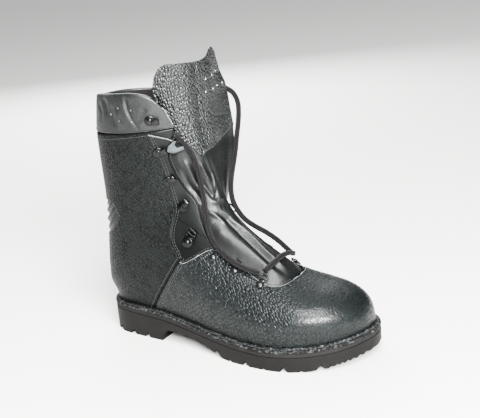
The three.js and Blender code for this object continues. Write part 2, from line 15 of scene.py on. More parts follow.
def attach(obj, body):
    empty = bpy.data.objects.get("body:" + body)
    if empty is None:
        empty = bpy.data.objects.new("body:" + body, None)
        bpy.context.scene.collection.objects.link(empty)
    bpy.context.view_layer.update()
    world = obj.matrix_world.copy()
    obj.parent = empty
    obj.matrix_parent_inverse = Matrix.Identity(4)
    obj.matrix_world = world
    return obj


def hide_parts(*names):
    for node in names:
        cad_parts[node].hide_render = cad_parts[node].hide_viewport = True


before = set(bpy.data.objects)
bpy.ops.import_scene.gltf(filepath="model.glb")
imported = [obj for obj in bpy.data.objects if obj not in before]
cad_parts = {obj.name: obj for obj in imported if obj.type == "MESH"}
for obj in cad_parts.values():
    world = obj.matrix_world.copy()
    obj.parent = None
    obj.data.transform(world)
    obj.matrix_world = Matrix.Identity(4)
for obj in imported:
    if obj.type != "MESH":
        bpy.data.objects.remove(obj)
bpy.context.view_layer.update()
scene = bpy.context.scene
MM = 0.001

# ---------------------------------------------------------------------------------------------------
# Studio: a pale matt floor, a soft overhead light and a large soft window on the toe side. The
# camera stands about a metre away on the outer side, a little above the boot, slightly rolled.

CAMERA_AZIMUTH = math.radians(31.68)
CAMERA_ELEVATION = math.radians(19.61)
CAMERA_ROLL = math.radians(-5.28)
CAMERA_DISTANCE = 1.0169
CAMERA_TARGET = Vector((0.110, 0.0, 0.110))
CAMERA_LENS = 71.7
CAMERA_SHIFT = (0.020, 0.068)
FLOOR_REACH = 14.0

# Name, place, size and power of each soft light.
SOFT_LIGHTS = [
    ("window", (1.14, -1.08, 0.89), (1.05, 0.5), 100),
    ("skylight", (0.74, -0.63, 1.68), (1.0, 0.8), 52),
    ("side_window", (-1.4, -0.3, 0.8), (0.3, 0.8), 5),
    ("back_fill", (-0.85, 1.25, 0.75), (0.9, 0.6), 20),
]
DAYLIGHT_FROM = Vector((-0.5, 0.55, 1))


def shader(name, color, roughness, specular=0.5):
    """A material with its Principled shader: the start of every finish."""
    material = bpy.data.materials.new(name)
    material.use_nodes = True
    surface = material.node_tree.nodes["Principled BSDF"]
    surface.inputs["Base Color"].default_value = (*color, 1)
    surface.inputs["Roughness"].default_value = roughness
    surface.inputs["Specular IOR Level"].default_value = specular
    return material, surface


def in_scene(name, data, materials=()):
    """An object in the scene from a mesh, light or camera."""
    for material in materials:
        data.materials.append(material)
    item = bpy.data.objects.new(name, data)
    scene.collection.objects.link(item)
    return item


def place_camera():
    flat = math.cos(CAMERA_ELEVATION)
    back = Vector((
        math.sin(CAMERA_AZIMUTH) * flat,
        -math.cos(CAMERA_AZIMUTH) * flat,
        math.sin(CAMERA_ELEVATION),
    ))
    right = (-back).cross(Vector((0, 0, 1))).normalized()
    up = right.cross(-back)
    turned_right = math.cos(CAMERA_ROLL) * right + math.sin(CAMERA_ROLL) * up
    turned_up = math.cos(CAMERA_ROLL) * up - math.sin(CAMERA_ROLL) * right
    camera = in_scene("camera", bpy.data.cameras.new("camera"))
    axes = Matrix((turned_right, turned_up, back)).transposed().to_4x4()
    camera.matrix_world = Matrix.Translation(CAMERA_TARGET + back * CAMERA_DISTANCE) @ axes
    camera.data.lens = CAMERA_LENS
    camera.data.shift_x, camera.data.shift_y = CAMERA_SHIFT
    scene.camera = camera


def soft_light(name, place, size, power):
    data = bpy.data.lights.new(name, "AREA")
    data.shape = "RECTANGLE"
    data.size, data.size_y = size
    data.energy = power
    light = in_scene(name, data)
    light.location = place
    light.rotation_euler = (CAMERA_TARGET - Vector(place)).to_track_quat("-Z", "Y").to_euler()


def lay_floor():
    mesh = bpy.data.meshes.new("floor")
    corners = [(x * FLOOR_REACH, y * FLOOR_REACH, 0) for x, y in ((-1, -1), (1, -1), (1, 1), (-1, 1))]
    mesh.from_pydata(corners, [], [(0, 1, 2, 3)])
    material, _ = shader("pale_floor", (0.74, 0.735, 0.72), 0.9, 0.2)
    in_scene("floor", mesh, [material])


def light_room():
    world = bpy.data.worlds.new("pale_room")
    world.use_nodes = True
    air = world.node_tree.nodes["Background"]
    air.inputs["Color"].default_value = (0.93, 0.97, 1.0, 1)
    air.inputs["Strength"].default_value = 0.14
    scene.world = world
    scene.view_settings.look = "AgX - High Contrast"
    for light in SOFT_LIGHTS:
        soft_light(*light)
    daylight = bpy.data.lights.new("daylight", "SUN")
    daylight.energy = 1.6
    daylight.angle = math.radians(80)
    in_scene("daylight", daylight).rotation_euler = DAYLIGHT_FROM.to_track_quat("Z", "Y").to_euler()


place_camera()
lay_floor()
light_room()

# ---------------------------------------------------------------------------------------------------
# Laces: one round braided cord, charcoal with a brown cast, with a groove where its braid turns.
# It bars the lowest pair of loops; both ends run up loose and go in behind the collar's corners.

LACE_DIAMETER = 5.6 * MM
GROOVE_SIDE = np.array([0.5, -0.8, 0.34])
BAR_ROUTE = [
    (163.5, -25.5, 92.6), (167.5, -16, 97.2), (170.5, 1, 100.5), (171.5, 16, 98.5), (171, 26, 94),
]
LATERAL_ROUTE = [
    (160, -31, 91.5), (150, -35, 96), (137, -37.5, 102), (126, -37, 108.5), (117, -35.5, 115.5),
    (109.5, -34, 124), (104.5, -32, 134.5), (101.5, -29, 146), (99, -26, 157.5), (96.5, -23, 169.5),
    (93.5, -20.5, 181.5), (90.5, -19, 193), (87.5, -18.8, 203.5), (84, -20, 212.5), (79.5, -22, 220.5),
    (75, -24, 226.5), (70.5, -26, 231.5), (67, -28, 235),
]
MEDIAL_ROUTE = [
    (165.5, 34.5, 90), (157, 36.5, 95), (148, 35, 103.5), (138.5, 29.5, 113), (129, 22, 122),
    (121.5, 15, 131.5), (114.5, 12.5, 142.5), (109, 13.5, 154), (105.5, 18.5, 165), (103.5, 26, 176.5),
    (102, 34.5, 187.5), (100.5, 43, 199), (98.5, 51, 210.5), (97, 58.5, 222), (95, 65.5, 233.5),
    (91.5, 71.5, 244.5), (85, 74, 254), (76.5, 71.5, 260), (69, 65.5, 261), (62.5, 58, 258),
]


def travelled(line):
    """The way along a line of points from its start to each of them."""
    return np.concatenate([[0], np.cumsum(np.linalg.norm(np.diff(line, axis=0), axis=1))])


def points_at(line, places):
    """Points of a line at distances from its start."""
    way = travelled(line)
    return np.stack([np.interp(places, way, line[:, k]) for k in range(3)], 1)


def unit(vectors):
    return vectors / np.maximum(np.linalg.norm(vectors, axis=-1), 1e-9)[..., None]


def rings_round(line, first, second, angle, radius):
    """Points of a tube: a ring at each point of a line, in the plane of two directions there."""
    ring = first[:, None] * np.cos(angle)[None, :, None] + second[:, None] * np.sin(angle)[None, :, None]
    return (line[:, None] + ring * radius[:, :, None]).reshape(-1, 3)


def smooth_route(points, step, closed=False):
    """Even points along a centripetal curve through the given ones, and its length."""
    known = np.array(points, float) * MM
    if closed:
        padded = np.vstack([known[-1:], known, known[:2]])
    else:
        padded = np.vstack([2 * known[0] - known[1], known, 2 * known[-1] - known[-2]])
    line = []
    for i in range(len(padded) - 3):
        a, b, c, d = padded[i:i + 4]
        ta, tb, tc = (math.sqrt(np.linalg.norm(q - p)) for p, q in ((a, b), (b, c), (c, d)))
        start = ((b - a) / ta - (c - a) / (ta + tb) + (c - b) / tb) * tb
        end = ((c - b) / tb - (d - b) / (tb + tc) + (d - c) / tc) * tb
        t = np.linspace(0, 1, 40, endpoint=False)[:, None]
        bend = 2 * b - 2 * c + start + end
        line.append(b + start * t + (3 * c - 3 * b - 2 * start - end) * t ** 2 + bend * t ** 3)
    line = np.vstack(line + [padded[-2:-1]])
    length = travelled(line)[-1]
    return points_at(line, np.linspace(0, length, max(2, round(length / step) + 1))), length


def smooth_shaded(mesh):
    mesh.polygons.foreach_set("use_smooth", np.ones(len(mesh.polygons), bool))


def add_piece(name, verts, faces, materials):
    """A smooth shaded mesh object in the scene."""
    mesh = bpy.data.meshes.new(name)
    mesh.from_pydata([tuple(v) for v in np.asarray(verts)], [], [tuple(f) for f in faces])
    smooth_shaded(mesh)
    mesh.update()
    return in_scene(name, mesh, materials)


def set_inputs(node, inputs):
    """Give a node's inputs numbers, colours or other nodes' outputs."""
    for socket, value in inputs.items():
        if isinstance(value, bpy.types.NodeSocket):
            node.id_data.links.new(value, node.inputs[socket])
        else:
            node.inputs[socket].default_value = value


def add_node(tree, kind, inputs, **settings):
    node = tree.nodes.new(kind)
    for name, value in settings.items():
        setattr(node, name, value)
    set_inputs(node, inputs)
    return node


def place_on_piece(tree):
    return add_node(tree, "ShaderNodeTexCoord", {}).outputs["Object"]


def speckle(tree, place, scale, detail=2.0, roughness=0.5):
    """Fine random variation from 0 to 1."""
    inputs = {"Vector": place, "Scale": scale, "Detail": detail, "Roughness": roughness}
    return add_node(tree, "ShaderNodeTexNoise", inputs).outputs["Fac"]


def two_tone(tree, share, dark, light, low=0.0, high=1.0):
    """A colour from dark to light, as share goes from low to high."""
    tint = add_node(tree, "ShaderNodeValToRGB", {"Fac": share})
    for stop, position, color in zip(tint.color_ramp.elements, (low, high), (dark, light)):
        stop.position = position
        stop.color = (*color, 1)
    return tint.outputs["Color"]


def blended(tree, share, first, second):
    """A colour between two, each a colour or a socket."""
    return add_node(tree, "ShaderNodeMix", {0: share, 6: first, 7: second}, data_type="RGBA").outputs[2]


def raised(tree, height, rise, strength=1.0):
    """The normal of a surface that height lifts by up to rise, in millimetres."""
    inputs = {"Height": height, "Distance": rise * MM, "Strength": strength}
    return add_node(tree, "ShaderNodeBump", inputs).outputs["Normal"]


def lace_finish():
    material, surface = shader("braided_lace", (0.05, 0.043, 0.043), 0.85, 0.25)
    tree = material.node_tree
    yarn = speckle(tree, place_on_piece(tree), 900, 3)
    # The groove attribute darkens the groove and the gaps between strands to near-black: painted shade.
    groove = add_node(tree, "ShaderNodeAttribute", {}, attribute_name="groove").outputs["Fac"]
    tint = two_tone(tree, yarn, (0.006, 0.0055, 0.006), (0.024, 0.0222, 0.0235), 0.35, 0.72)
    set_inputs(surface, {
        "Base Color": blended(tree, groove, tint, (0.0025, 0.0022, 0.0024, 1)),
        "Normal": raised(tree, yarn, 0.2, 0.5),
        "Sheen Weight": 0.05,
        "Sheen Roughness": 0.5,
    })
    return material


def tube_faces(rings, around, closed=False, flip=False):
    """Quads round a run of closed rings; its ends are capped, or else it closes on itself."""
    faces = [
        (i * around + j, i * around + (j + 1) % around,
         (i + 1) % rings * around + (j + 1) % around, (i + 1) % rings * around + j)
        for i in range(rings if closed else rings - 1) for j in range(around)
    ]
    if not closed:
        faces.append(tuple(reversed(range(around))))
        faces.append(tuple((rings - 1) * around + j for j in range(around)))
    return [(face[0], *face[:0:-1]) for face in faces] if flip else faces


def with_values(mesh, name, values):
    mesh.attributes.new(name, "FLOAT", "POINT").data.foreach_set("value", np.asarray(values, float))


def braided_cord(name, route, material):
    """A tube of crossing strands along a route, with its groove turned to one side."""
    sides, strands, pitch, relief, groove = 32, 7, 3.0 * MM, 0.30 * MM, 0.9 * MM
    line, length = smooth_route(route, 0.55 * MM)
    run = unit(np.gradient(line, axis=0))
    front = unit(GROOVE_SIDE - run * (run @ GROOVE_SIDE)[:, None])
    angle = np.linspace(0, 2 * math.pi, sides, endpoint=False)
    along_cord = np.linspace(0, length, len(line))[:, None]
    twist = 2 * math.pi * along_cord / pitch
    over = np.maximum(np.cos(strands * angle + twist), np.cos(strands * angle - twist))
    turn = np.minimum(angle, 2 * math.pi - angle)
    radius = LACE_DIAMETER / 2 - relief * (1 - over) / 2 - groove * np.exp(-((turn / 0.22) ** 2))
    verts = rings_round(line, front, np.cross(run, front), angle, radius)
    piece = add_piece(name, verts, tube_faces(len(line), sides), [material])
    # Painted shade: darker in the groove and in the gaps under the crossing strands.
    dark = np.exp(-((turn / 0.20) ** 2)) + 0.5 * (1 - over) / 2
    with_values(piece.data, "groove", np.clip(dark, 0, 1).ravel())
    return piece, line, length


LACE = lace_finish()
for cord_name, node, route in [
    ("lace_over_outer_side", "lace_lateral", LATERAL_ROUTE),
    ("lace_over_inner_side", "lace_medial", MEDIAL_ROUTE),
]:
    lace, line, length = braided_cord(cord_name, route, LACE)
    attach(lace, "root")
    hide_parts(node)
bar, _, _ = braided_cord("lace_bar_between_loops", BAR_ROUTE, LACE)
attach(bar, "root")
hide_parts("lace_bar")

# ---------------------------------------------------------------------------------------------------
# The last: the form that every leather piece is pulled over. A place on it is s, the millimetres up
# the top line from the toe tip, and v, from the outer feather (-1) over the top (0) to the inner one
# (1). Above the heel both ends meet on the back line, and v goes on round it.

WELT_WIDTH = 6
WIDEST = 0.62
HEEL_TURN = (246, 250)
TOE_TURN = (45, 75)
TOE_SWELL = 1.045

# x, outer y, inner y of the sole's edge, between the heel and toe points.
SOLE_EDGE = [
    (-39, -19, 18), (-24, -32, 31), (5, -37.5, 38), (40, -41, 36), (75, -47, 33.5), (110, -54.5, 36),
    (145, -61, 43.5), (180, -63, 54), (208, -57.6, 57.5), (233, -45.4, 54.4), (254, -25.3, 44.6),
    (266, -2, 28.5),
]
HEEL_POINT, TOE_POINT = (-44, 0), (269, 12)

# x, z of the top of the sole under the foot.
SEAT = [
    (-46, 35), (0, 34.5), (40, 33), (80, 29), (120, 25), (160, 23), (200, 24), (240, 27), (272, 31),
]

# s, back x, back z, front x, front z, half width, height of the widest point, roundness, ridge y.
LAST = [
    (0, 262.3, 31, 262.3, 31, 4, 0.35, 2.3, 11),
    (13, 261, 30, 261, 43, 11, 0.38, 2.3, 11),
    (26, 256, 29, 256, 53.5, 23, 0.38, 2.3, 10),
    (40, 246, 28, 246, 62, 36, 0.38, 2.3, 9),
    (57, 230, 26, 230, 69, 46.6, 0.38, 2.3, 7),
    (77, 208, 24, 210, 73.5, 53.8, 0.38, 2.25, 5),
    (98, 184, 23, 190, 79.5, 55.2, 0.36, 2.15, 3),
    (120, 156, 23, 170, 88.5, 52.8, 0.36, 2.05, 1),
    (143, 126, 25, 150, 100.5, 49, 0.38, 1.95, 0),
    (166, 92, 28, 132, 116, 46, 0.4, 1.9, 0),
    (190, 55, 32, 117, 134, 43.5, 0.42, 1.9, 0),
    (213, 18, 34, 105, 154, 42, 0.42, 1.95, 0),
    (236, -14, 35, 97, 175, 41.2, 0.4, 2, 0),
    (244, -30.5, 35, 94.5, 183, 41, 0.4, 2, 0),
    (250, -45.5, 46, 93, 189, 41, 0.4, 2, 0),
    (257, -47.3, 65, 91.5, 196, 41, 0.42, 2, 0),
    (265, -45, 89, 90, 204, 41.5, 0.44, 2.05, 0),
    (273, -41.5, 115, 88.5, 211, 42.5, 0.46, 2.05, 0),
    (281, -39, 142, 87.5, 218, 44, 0.48, 2.1, 0),
    (289, -38.2, 170, 86.5, 225, 46, 0.5, 2.1, 0),
    (297, -38, 200, 85.5, 232, 48, 0.5, 2.1, 0),
    (305, -37, 230, 84.5, 240, 50, 0.5, 2.1, 0),
    (313, -32.5, 257, 84, 250, 51, 0.5, 2.1, 0),
    (330, -24, 292, 83.5, 290, 51, 0.5, 2.1, 0),
    (360, -20, 350, 83, 347, 51, 0.5, 2.1, 0),
]


def along(table, column, station):
    """Values of a table's column at stations, on a smooth curve through its rows."""
    rows = np.array(table, float)
    at, value = rows[:, 0], rows[:, column]
    span = np.diff(at)
    slope = np.diff(value) / span
    inner = (slope[:-1] * span[1:] + slope[1:] * span[:-1]) / (span[:-1] + span[1:])
    tangent = np.concatenate([slope[:1], inner, slope[-1:]])
    station = np.asarray(station, float)
    i = np.clip(np.searchsorted(at, station) - 1, 0, len(span) - 1)
    t = np.clip((station - at[i]) / span[i], 0, 1)
    blend = value[i] + (value[i + 1] - value[i]) * t * t * (3 - 2 * t)
    return blend + span[i] * (t * (1 - t) ** 2 * tangent[i] - t * t * (1 - t) * tangent[i + 1])


def smoothstep(value, low, high):
    t = np.clip((np.asarray(value, float) - low) / (high - low), 0, 1)
    return t * t * (3 - 2 * t)


def sole_outline(step, inset=0.0):
    """Even points round the sole's edge from the heel along the outer side, moved in by an inset."""
    outer = [(x, y, 0) for x, y, _ in SOLE_EDGE]
    inner = [(x, y, 0) for x, _, y in SOLE_EDGE][::-1]
    ring = [(*HEEL_POINT, 0), *outer, (*TOE_POINT, 0), *inner]
    line = smooth_route(ring, step * MM, closed=True)[0][:-1, :2] / MM
    run = unit(np.roll(line, -1, 0) - np.roll(line, 1, 0))
    return line + np.stack([-run[:, 1], run[:, 0]], 1) * inset


def seat_z(x):
    return along(SEAT, 1, x)


FEATHER = sole_outline(1.0, WELT_WIDTH)
OUTER_FEATHER = FEATHER[:FEATHER[:, 0].argmax() + 1]
INNER_FEATHER = FEATHER[FEATHER[:, 0].argmax():]


def feather_at(x):
    """Middle and half width of the line where the upper meets the sole."""
    ends = []
    for half in (OUTER_FEATHER, INNER_FEATHER):
        ordered = half[np.argsort(half[:, 0])]
        ends.append(np.interp(x, ordered[:, 0], ordered[:, 1], left=0, right=0))
    return (ends[0] + ends[1]) / 2, (ends[1] - ends[0]) / 2


def last_point(s, across):
    """Points on the last, in millimetres."""
    s, across = np.broadcast_arrays(np.asarray(s, float), np.asarray(across, float))
    back_x, back_z, front_x, front_z, side, widest, round_, ridge = (along(LAST, c, s) for c in range(1, 9))
    turn = np.clip((s - HEEL_TURN[0]) / (HEEL_TURN[1] - HEEL_TURN[0]), 0, 1)
    back_z = seat_z(back_x) * (1 - turn) + back_z * turn
    middle, foot = feather_at(back_x)
    on_foot = s < HEEL_TURN[1]
    middle, foot = np.where(on_foot, middle, 0), np.where(on_foot, foot, 0)
    half = side + (foot * TOE_SWELL - side) * (1 - smoothstep(s, *TOE_TURN))
    v = np.where(np.abs(across) > 1, across - 2 * np.sign(across), across)
    a = np.abs(v)
    angle = np.clip(a / WIDEST, 0, 1) * math.pi / 2
    cosine, sine = np.clip(np.cos(angle), 0, 1), np.sin(angle)
    over_height, over_y = widest + (1 - widest) * cosine ** (2 / round_), half * sine ** (2 / round_)
    down = np.clip((a - WIDEST) / (1 - WIDEST), 0, 1)
    flat = np.minimum(1, foot / half)
    drop = flat * down + (1 - flat) * np.sin(down * math.pi / 2)
    under_height = widest * (1 - drop)
    under_y = foot + (half - foot) * np.clip(1 - drop * drop, 0, 1) ** (0.5 + 0.5 * flat)
    height = np.where(a <= WIDEST, over_height, under_height)
    y = np.where(a <= WIDEST, over_y, under_y)
    return np.stack([
        back_x + (front_x - back_x) * height,
        middle * (1 - height) + ridge * height + np.sign(v) * y,
        back_z + (front_z - back_z) * height,
    ], -1)


def last_normal(s, v):
    s, v = np.broadcast_arrays(np.asarray(s, float), np.asarray(v, float))
    low, high = v - 0.01, v + 0.01
    low = np.where(s < HEEL_TURN[1], np.maximum(low, -1), low)
    high = np.where(s < HEEL_TURN[1], np.minimum(high, 1), high)
    run_s = last_point(s + 1, v) - last_point(np.maximum(s - 1, 0), v)
    run_v = last_point(s, high) - last_point(s, low)
    return unit(np.cross(run_v, run_s))


def skin(s, v, lift):
    """Points at a height over the last, in millimetres."""
    return last_point(s, v) + last_normal(s, v) * np.asarray(lift, float)[..., None]

# ---------------------------------------------------------------------------------------------------
# Lining and backing: the inner layer of the upper, 1.2 mm of smooth black leather with a cloth face
# inside. It is lasted under the insole, runs up to the throat's edge and shows at the ankle.

# s, v of the throat's edge on either side of the top line.
THROAT = [
    (99, 0), (100.5, 0.08), (104, 0.16), (111, 0.225), (123, 0.255), (140, 0.255), (158, 0.27),
    (177, 0.3), (199, 0.295), (213, 0.27), (231, 0.235), (251, 0.255), (270, 0.31), (288, 0.33),
    (296, 0.29), (306, 0.24), (315, 0.24),
]
QUARTER_TOP = 305
LEATHER_THICK = 1.2
TOE_FADE = 55
# Millimetres round the shaft for one unit of v.
ACROSS_MM = 150
LEATHER_DUST = (0.050, 0.048, 0.042, 1)
# Near-black blended into the creases between pebbles: painted shade.
PAINTED_CREASE_SHADE = (0.0008, 0.0008, 0.0008, 1)


def throat(s):
    """v of the throat's edge, 0 below the throat."""
    return np.where(np.asarray(s) > THROAT[0][0], along(THROAT, 1, s), 0.0)


def node_group(name, inputs, outputs):
    """An empty shader node group with named inputs (name, kind, default) and outputs (name, kind)."""
    group = bpy.data.node_groups.new(name, "ShaderNodeTree")
    for label, kind, default in inputs:
        socket = group.interface.new_socket(label, in_out="INPUT", socket_type=kind)
        if default is not None:
            socket.default_value = default
    for label, kind in outputs:
        group.interface.new_socket(label, in_out="OUTPUT", socket_type=kind)
    return group, group.nodes.new("NodeGroupInput"), group.nodes.new("NodeGroupOutput")


def math_node(tree, operation, *values):
    """A Math node fed with sockets or numbers."""
    return add_node(tree, "ShaderNodeMath", dict(enumerate(values)), operation=operation).outputs[0]


def ramp(tree, value, low, high, start=0.0, end=1.0, interpolation="LINEAR"):
    """start where value is low, end where it is high."""
    inputs = {"Value": value, "From Min": low, "From Max": high, "To Min": start, "To Max": end}
    return add_node(tree, "ShaderNodeMapRange", inputs, interpolation_type=interpolation).outputs["Result"]


def make_pebble_grain():
    """Domed pebbles with creases between them, and finer ones on top: the height of grained hide."""
    group, start, end = node_group(
        "pebble_grain",
        [("Place", "NodeSocketVector", None), ("Pebble Size", "NodeSocketFloat", 0.0025)],
        [("Height", "NodeSocketFloat"), ("Crease", "NodeSocketFloat")],
    )
    scale = math_node(group, "DIVIDE", 1.0, start.outputs["Pebble Size"])

    def pebbles(feature, finer):
        cells = add_node(group, "ShaderNodeTexVoronoi", {
            "Vector": start.outputs["Place"], "Scale": math_node(group, "MULTIPLY", scale, finer),
            "Randomness": 0.75,
        }, feature=feature)
        return cells.outputs["Distance"]

    coarse, small = pebbles("F1", 1.0), pebbles("F1", 2.4)
    dome = math_node(group, "MULTIPLY", coarse, coarse)
    fine = math_node(group, "MULTIPLY", small, small)
    hollow = math_node(group, "MULTIPLY_ADD", fine, 0.12, dome)
    edges = pebbles("DISTANCE_TO_EDGE", 1.0)
    set_inputs(end, {
        "Height": math_node(group, "SUBTRACT", 1.0, hollow),
        "Crease": ramp(group, edges, 0.24, 0.02, interpolation="SMOOTHSTEP"),
    })
    return group


def make_handling():
    """Faint scuffs, rubbed patches and dust that handling leaves on a shop-new boot."""
    group, start, end = node_group(
        "handling",
        [("Place", "NodeSocketVector", None), ("Patch Size", "NodeSocketFloat", 0.03)],
        [("Patches", "NodeSocketFloat"), ("Scuffs", "NodeSocketFloat")],
    )
    place = start.outputs["Place"]
    scale = math_node(group, "DIVIDE", 1.0, start.outputs["Patch Size"])
    scuffs = speckle(group, place, math_node(group, "MULTIPLY", scale, 7.0), 6)
    set_inputs(end, {
        "Patches": speckle(group, place, scale, 4, 0.6),
        "Scuffs": ramp(group, scuffs, 0.62, 0.80),
    })
    return group


PEBBLE_GRAIN = make_pebble_grain()
HANDLING = make_handling()


def leather(name, color, worn, rough, pebble, depth, slant=(0, 0, 0), stretch=1.0, waves=0.0,
            smooth_from=None, shine=0.26):
    """Finished hide. pebble and depth are in millimetres; slant and stretch lay the pebbles askew;
    waves adds the slack of soft hide; grain fades towards the toe from x = smooth_from."""
    material, surface = shader(name, color, rough, shine)
    tree = material.node_tree
    place = place_on_piece(tree)
    lay = add_node(tree, "ShaderNodeMapping", {
        "Vector": place, "Rotation": [math.radians(angle) for angle in slant], "Scale": (1, 1, stretch),
    }, vector_type="TEXTURE")
    inputs = {"Place": lay.outputs["Vector"], "Pebble Size": pebble * MM}
    grain = add_node(tree, "ShaderNodeGroup", inputs, node_tree=PEBBLE_GRAIN)
    handling = add_node(tree, "ShaderNodeGroup", {"Place": place}, node_tree=HANDLING)
    height = grain.outputs["Height"]
    if smooth_from is not None:
        x = add_node(tree, "ShaderNodeSeparateXYZ", {"Vector": place}).outputs["X"]
        start, end = smooth_from * MM, (smooth_from + TOE_FADE) * MM
        height = math_node(tree, "MULTIPLY", height, ramp(tree, x, start, end, 1.0, 0.22, "SMOOTHSTEP"))
    slack = {
        "Height": speckle(tree, place, 60), "Distance": (0.25 + waves) * MM, "Strength": 1.0,
        "Normal": raised(tree, height, depth),
    }
    crease, patches = grain.outputs["Crease"], handling.outputs["Patches"]
    tone = blended(tree, patches, (*color, 1), (*worn, 1))
    dusty = blended(tree, math_node(tree, "MULTIPLY", handling.outputs["Scuffs"], 0.25), tone, LEATHER_DUST)
    # Painted shade: the base colour darkens towards near-black in the creases between pebbles.
    crease_shaded_tone = blended(tree, math_node(tree, "MULTIPLY", crease, 0.85), dusty, PAINTED_CREASE_SHADE)
    dull = math_node(tree, "MULTIPLY_ADD", crease, 0.30, rough - 0.10)
    set_inputs(surface, {
        "Base Color": crease_shaded_tone,
        "Roughness": math_node(tree, "MULTIPLY_ADD", patches, 0.12, dull),
        "Normal": add_node(tree, "ShaderNodeBump", slack).outputs["Normal"],
        "Coat Weight": 0.15,
        "Coat Roughness": 0.24,
    })
    return material


def cut_edge(name, color):
    """Raw cut edge of leather: pale, fibrous and matt."""
    material, surface = shader(name, color, 0.9, 0.2)
    tree = material.node_tree
    fibre = speckle(tree, place_on_piece(tree), 700)
    set_inputs(surface, {
        "Base Color": two_tone(tree, fibre, [c * 0.45 for c in color], [min(1, c * 1.4) for c in color]),
    })
    return material


def lining_cloth():
    """Woven lining: fine crossing threads, dark grey and matt."""
    material, surface = shader("lining_cloth", (0.06, 0.06, 0.058), 0.95, 0.2)
    tree = material.node_tree
    place = place_on_piece(tree)
    threads = []
    for direction in ("X", "Z"):
        inputs = {"Vector": place, "Scale": 240, "Distortion": 0}
        threads.append(add_node(tree, "ShaderNodeTexWave", inputs, bands_direction=direction).outputs["Fac"])
    weave = math_node(tree, "MAXIMUM", *threads)
    set_inputs(surface, {
        "Base Color": two_tone(tree, weave, (0.022, 0.022, 0.021), (0.030, 0.030, 0.0285)),
        "Normal": raised(tree, weave, 0.2),
    })
    return material


SMOOTH_LEATHER = leather("smooth_black_leather", (0.0045, 0.0055, 0.0055), (0.010, 0.012, 0.012), 0.38,
                         0.9, 0.06, waves=0.25)
RAW_EDGE = cut_edge("raw_leather_edge", (0.20, 0.21, 0.205))
BLACK_EDGE = cut_edge("inked_leather_edge", (0.028, 0.028, 0.028))
LINING = lining_cloth()


# Millimetres from a cut edge to the first rows of a piece, so that the edge rolls over cleanly.
CLOSE_TO_EDGE = np.array([0.2, 0.5, 0.9])


def even_stations(start, end, count, tight_start=False, tight_end=False):
    """Stations from start to end, with a few close to an end whose edge is cut."""
    rows = [np.linspace(start, end, count)]
    if tight_start:
        rows.append(start + CLOSE_TO_EDGE)
    if tight_end:
        rows.append(end - CLOSE_TO_EDGE)
    return np.unique(np.concatenate(rows).round(4))


def shares_across(count, width=120.0):
    """Shares from 0 to 1 across a piece, with a few close to its cut edge."""
    return np.unique(np.concatenate([np.linspace(0, 1, count), 1 - CLOSE_TO_EDGE / width]).round(6))


def dents(s, v, marks):
    """Sum of soft dents and ridges, each (s, v, height, length up, length across, turn)."""
    total = 0.0
    for at_s, at_v, height, long, wide, turn in marks:
        up = (s - at_s) * math.cos(turn) + (v - at_v) * ACROSS_MM * math.sin(turn)
        over = (v - at_v) * ACROSS_MM * math.cos(turn) - (s - at_s) * math.sin(turn)
        total = total + height * np.exp(-((up / long) ** 2) - (over / wide) ** 2)
    return total


def rolled_over(gap, width, drop):
    """How far a cut edge falls away, from its full drop at the edge to none at a width from it."""
    return drop * (1 - np.sqrt(1 - np.clip(1 - gap / width, 0, 1) ** 2))


def tree_of(points):
    tree = kdtree.KDTree(len(points))
    for i, point in enumerate(points):
        tree.insert(point, i)
    tree.balance()
    return tree


def grid_faces(rows, columns, offset=0):
    starts = [offset + i * columns + j for i in range(rows - 1) for j in range(columns - 1)]
    return [(k, k + 1, k + columns + 1, k + columns) for k in starts]


def baked(piece):
    """The piece with its modifiers applied to its mesh."""
    graph = bpy.context.evaluated_depsgraph_get()
    mesh = bpy.data.meshes.new_from_object(piece.evaluated_get(graph))
    piece.modifiers.clear()
    old = piece.data
    piece.data = mesh
    bpy.data.meshes.remove(old)
    mesh.name = piece.name
    smooth_shaded(mesh)
    return piece


def piece_of(name, bm, *materials):
    """A mesh object in the scene from a finished bmesh."""
    mesh = bpy.data.meshes.new(name)
    bm.to_mesh(mesh)
    bm.free()
    return in_scene(name, mesh, materials)


def with_thickness(piece, thick, even=True):
    """Gives a sheet its flesh side and its cut edge, and its thickness in millimetres."""
    wall = piece.modifiers.new("thickness", "SOLIDIFY")
    wall.thickness = thick * MM
    wall.offset = -1
    wall.use_even_offset = even
    wall.material_offset = 1
    wall.material_offset_rim = 2
    return baked(piece)


def leather_piece(name, grids, edges, lift, thick, materials, shape=lambda s, v: 0.0, roll=0.7):
    """A cut piece of hide over the last.

    grids are pairs of s and v arrays that join where they touch; edges are s and v lists along its cut
    edges, which are rolled over; shape(s, v) adds dents in millimetres; materials are face, flesh
    side and cut edge.
    """
    def face_at(s, v, height):
        return skin(s, v, height + shape(s, v))

    tree = tree_of(np.vstack([face_at(s, v, lift) for s, v in edges])) if edges else None
    bm = bmesh.new()
    for s, v in grids:
        points = face_at(s, v, lift)
        if tree:
            gap = np.array([tree.find(p)[2] for p in points.reshape(-1, 3)]).reshape(s.shape)
            points = face_at(s, v, lift - rolled_over(gap, roll, roll))
        verts = [bm.verts.new(p * MM) for p in points.reshape(-1, 3)]
        for face in grid_faces(*s.shape):
            bm.faces.new([verts[k] for k in face])
    bmesh.ops.remove_doubles(bm, verts=bm.verts, dist=0.02 * MM)
    piece = with_thickness(piece_of(name, bm, *materials), thick, even=False)
    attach(piece, "root")
    return piece


def half_grid(stations, low, high, shares, side):
    """s and v arrays from v = low(s) to high(s), on the outer (-1) or inner (1) side."""
    s = np.repeat(stations[:, None], len(shares), 1)
    from_v, to_v = low(stations)[:, None], high(stations)[:, None]
    return on_side(s, from_v + (to_v - from_v) * shares[None, :], side)


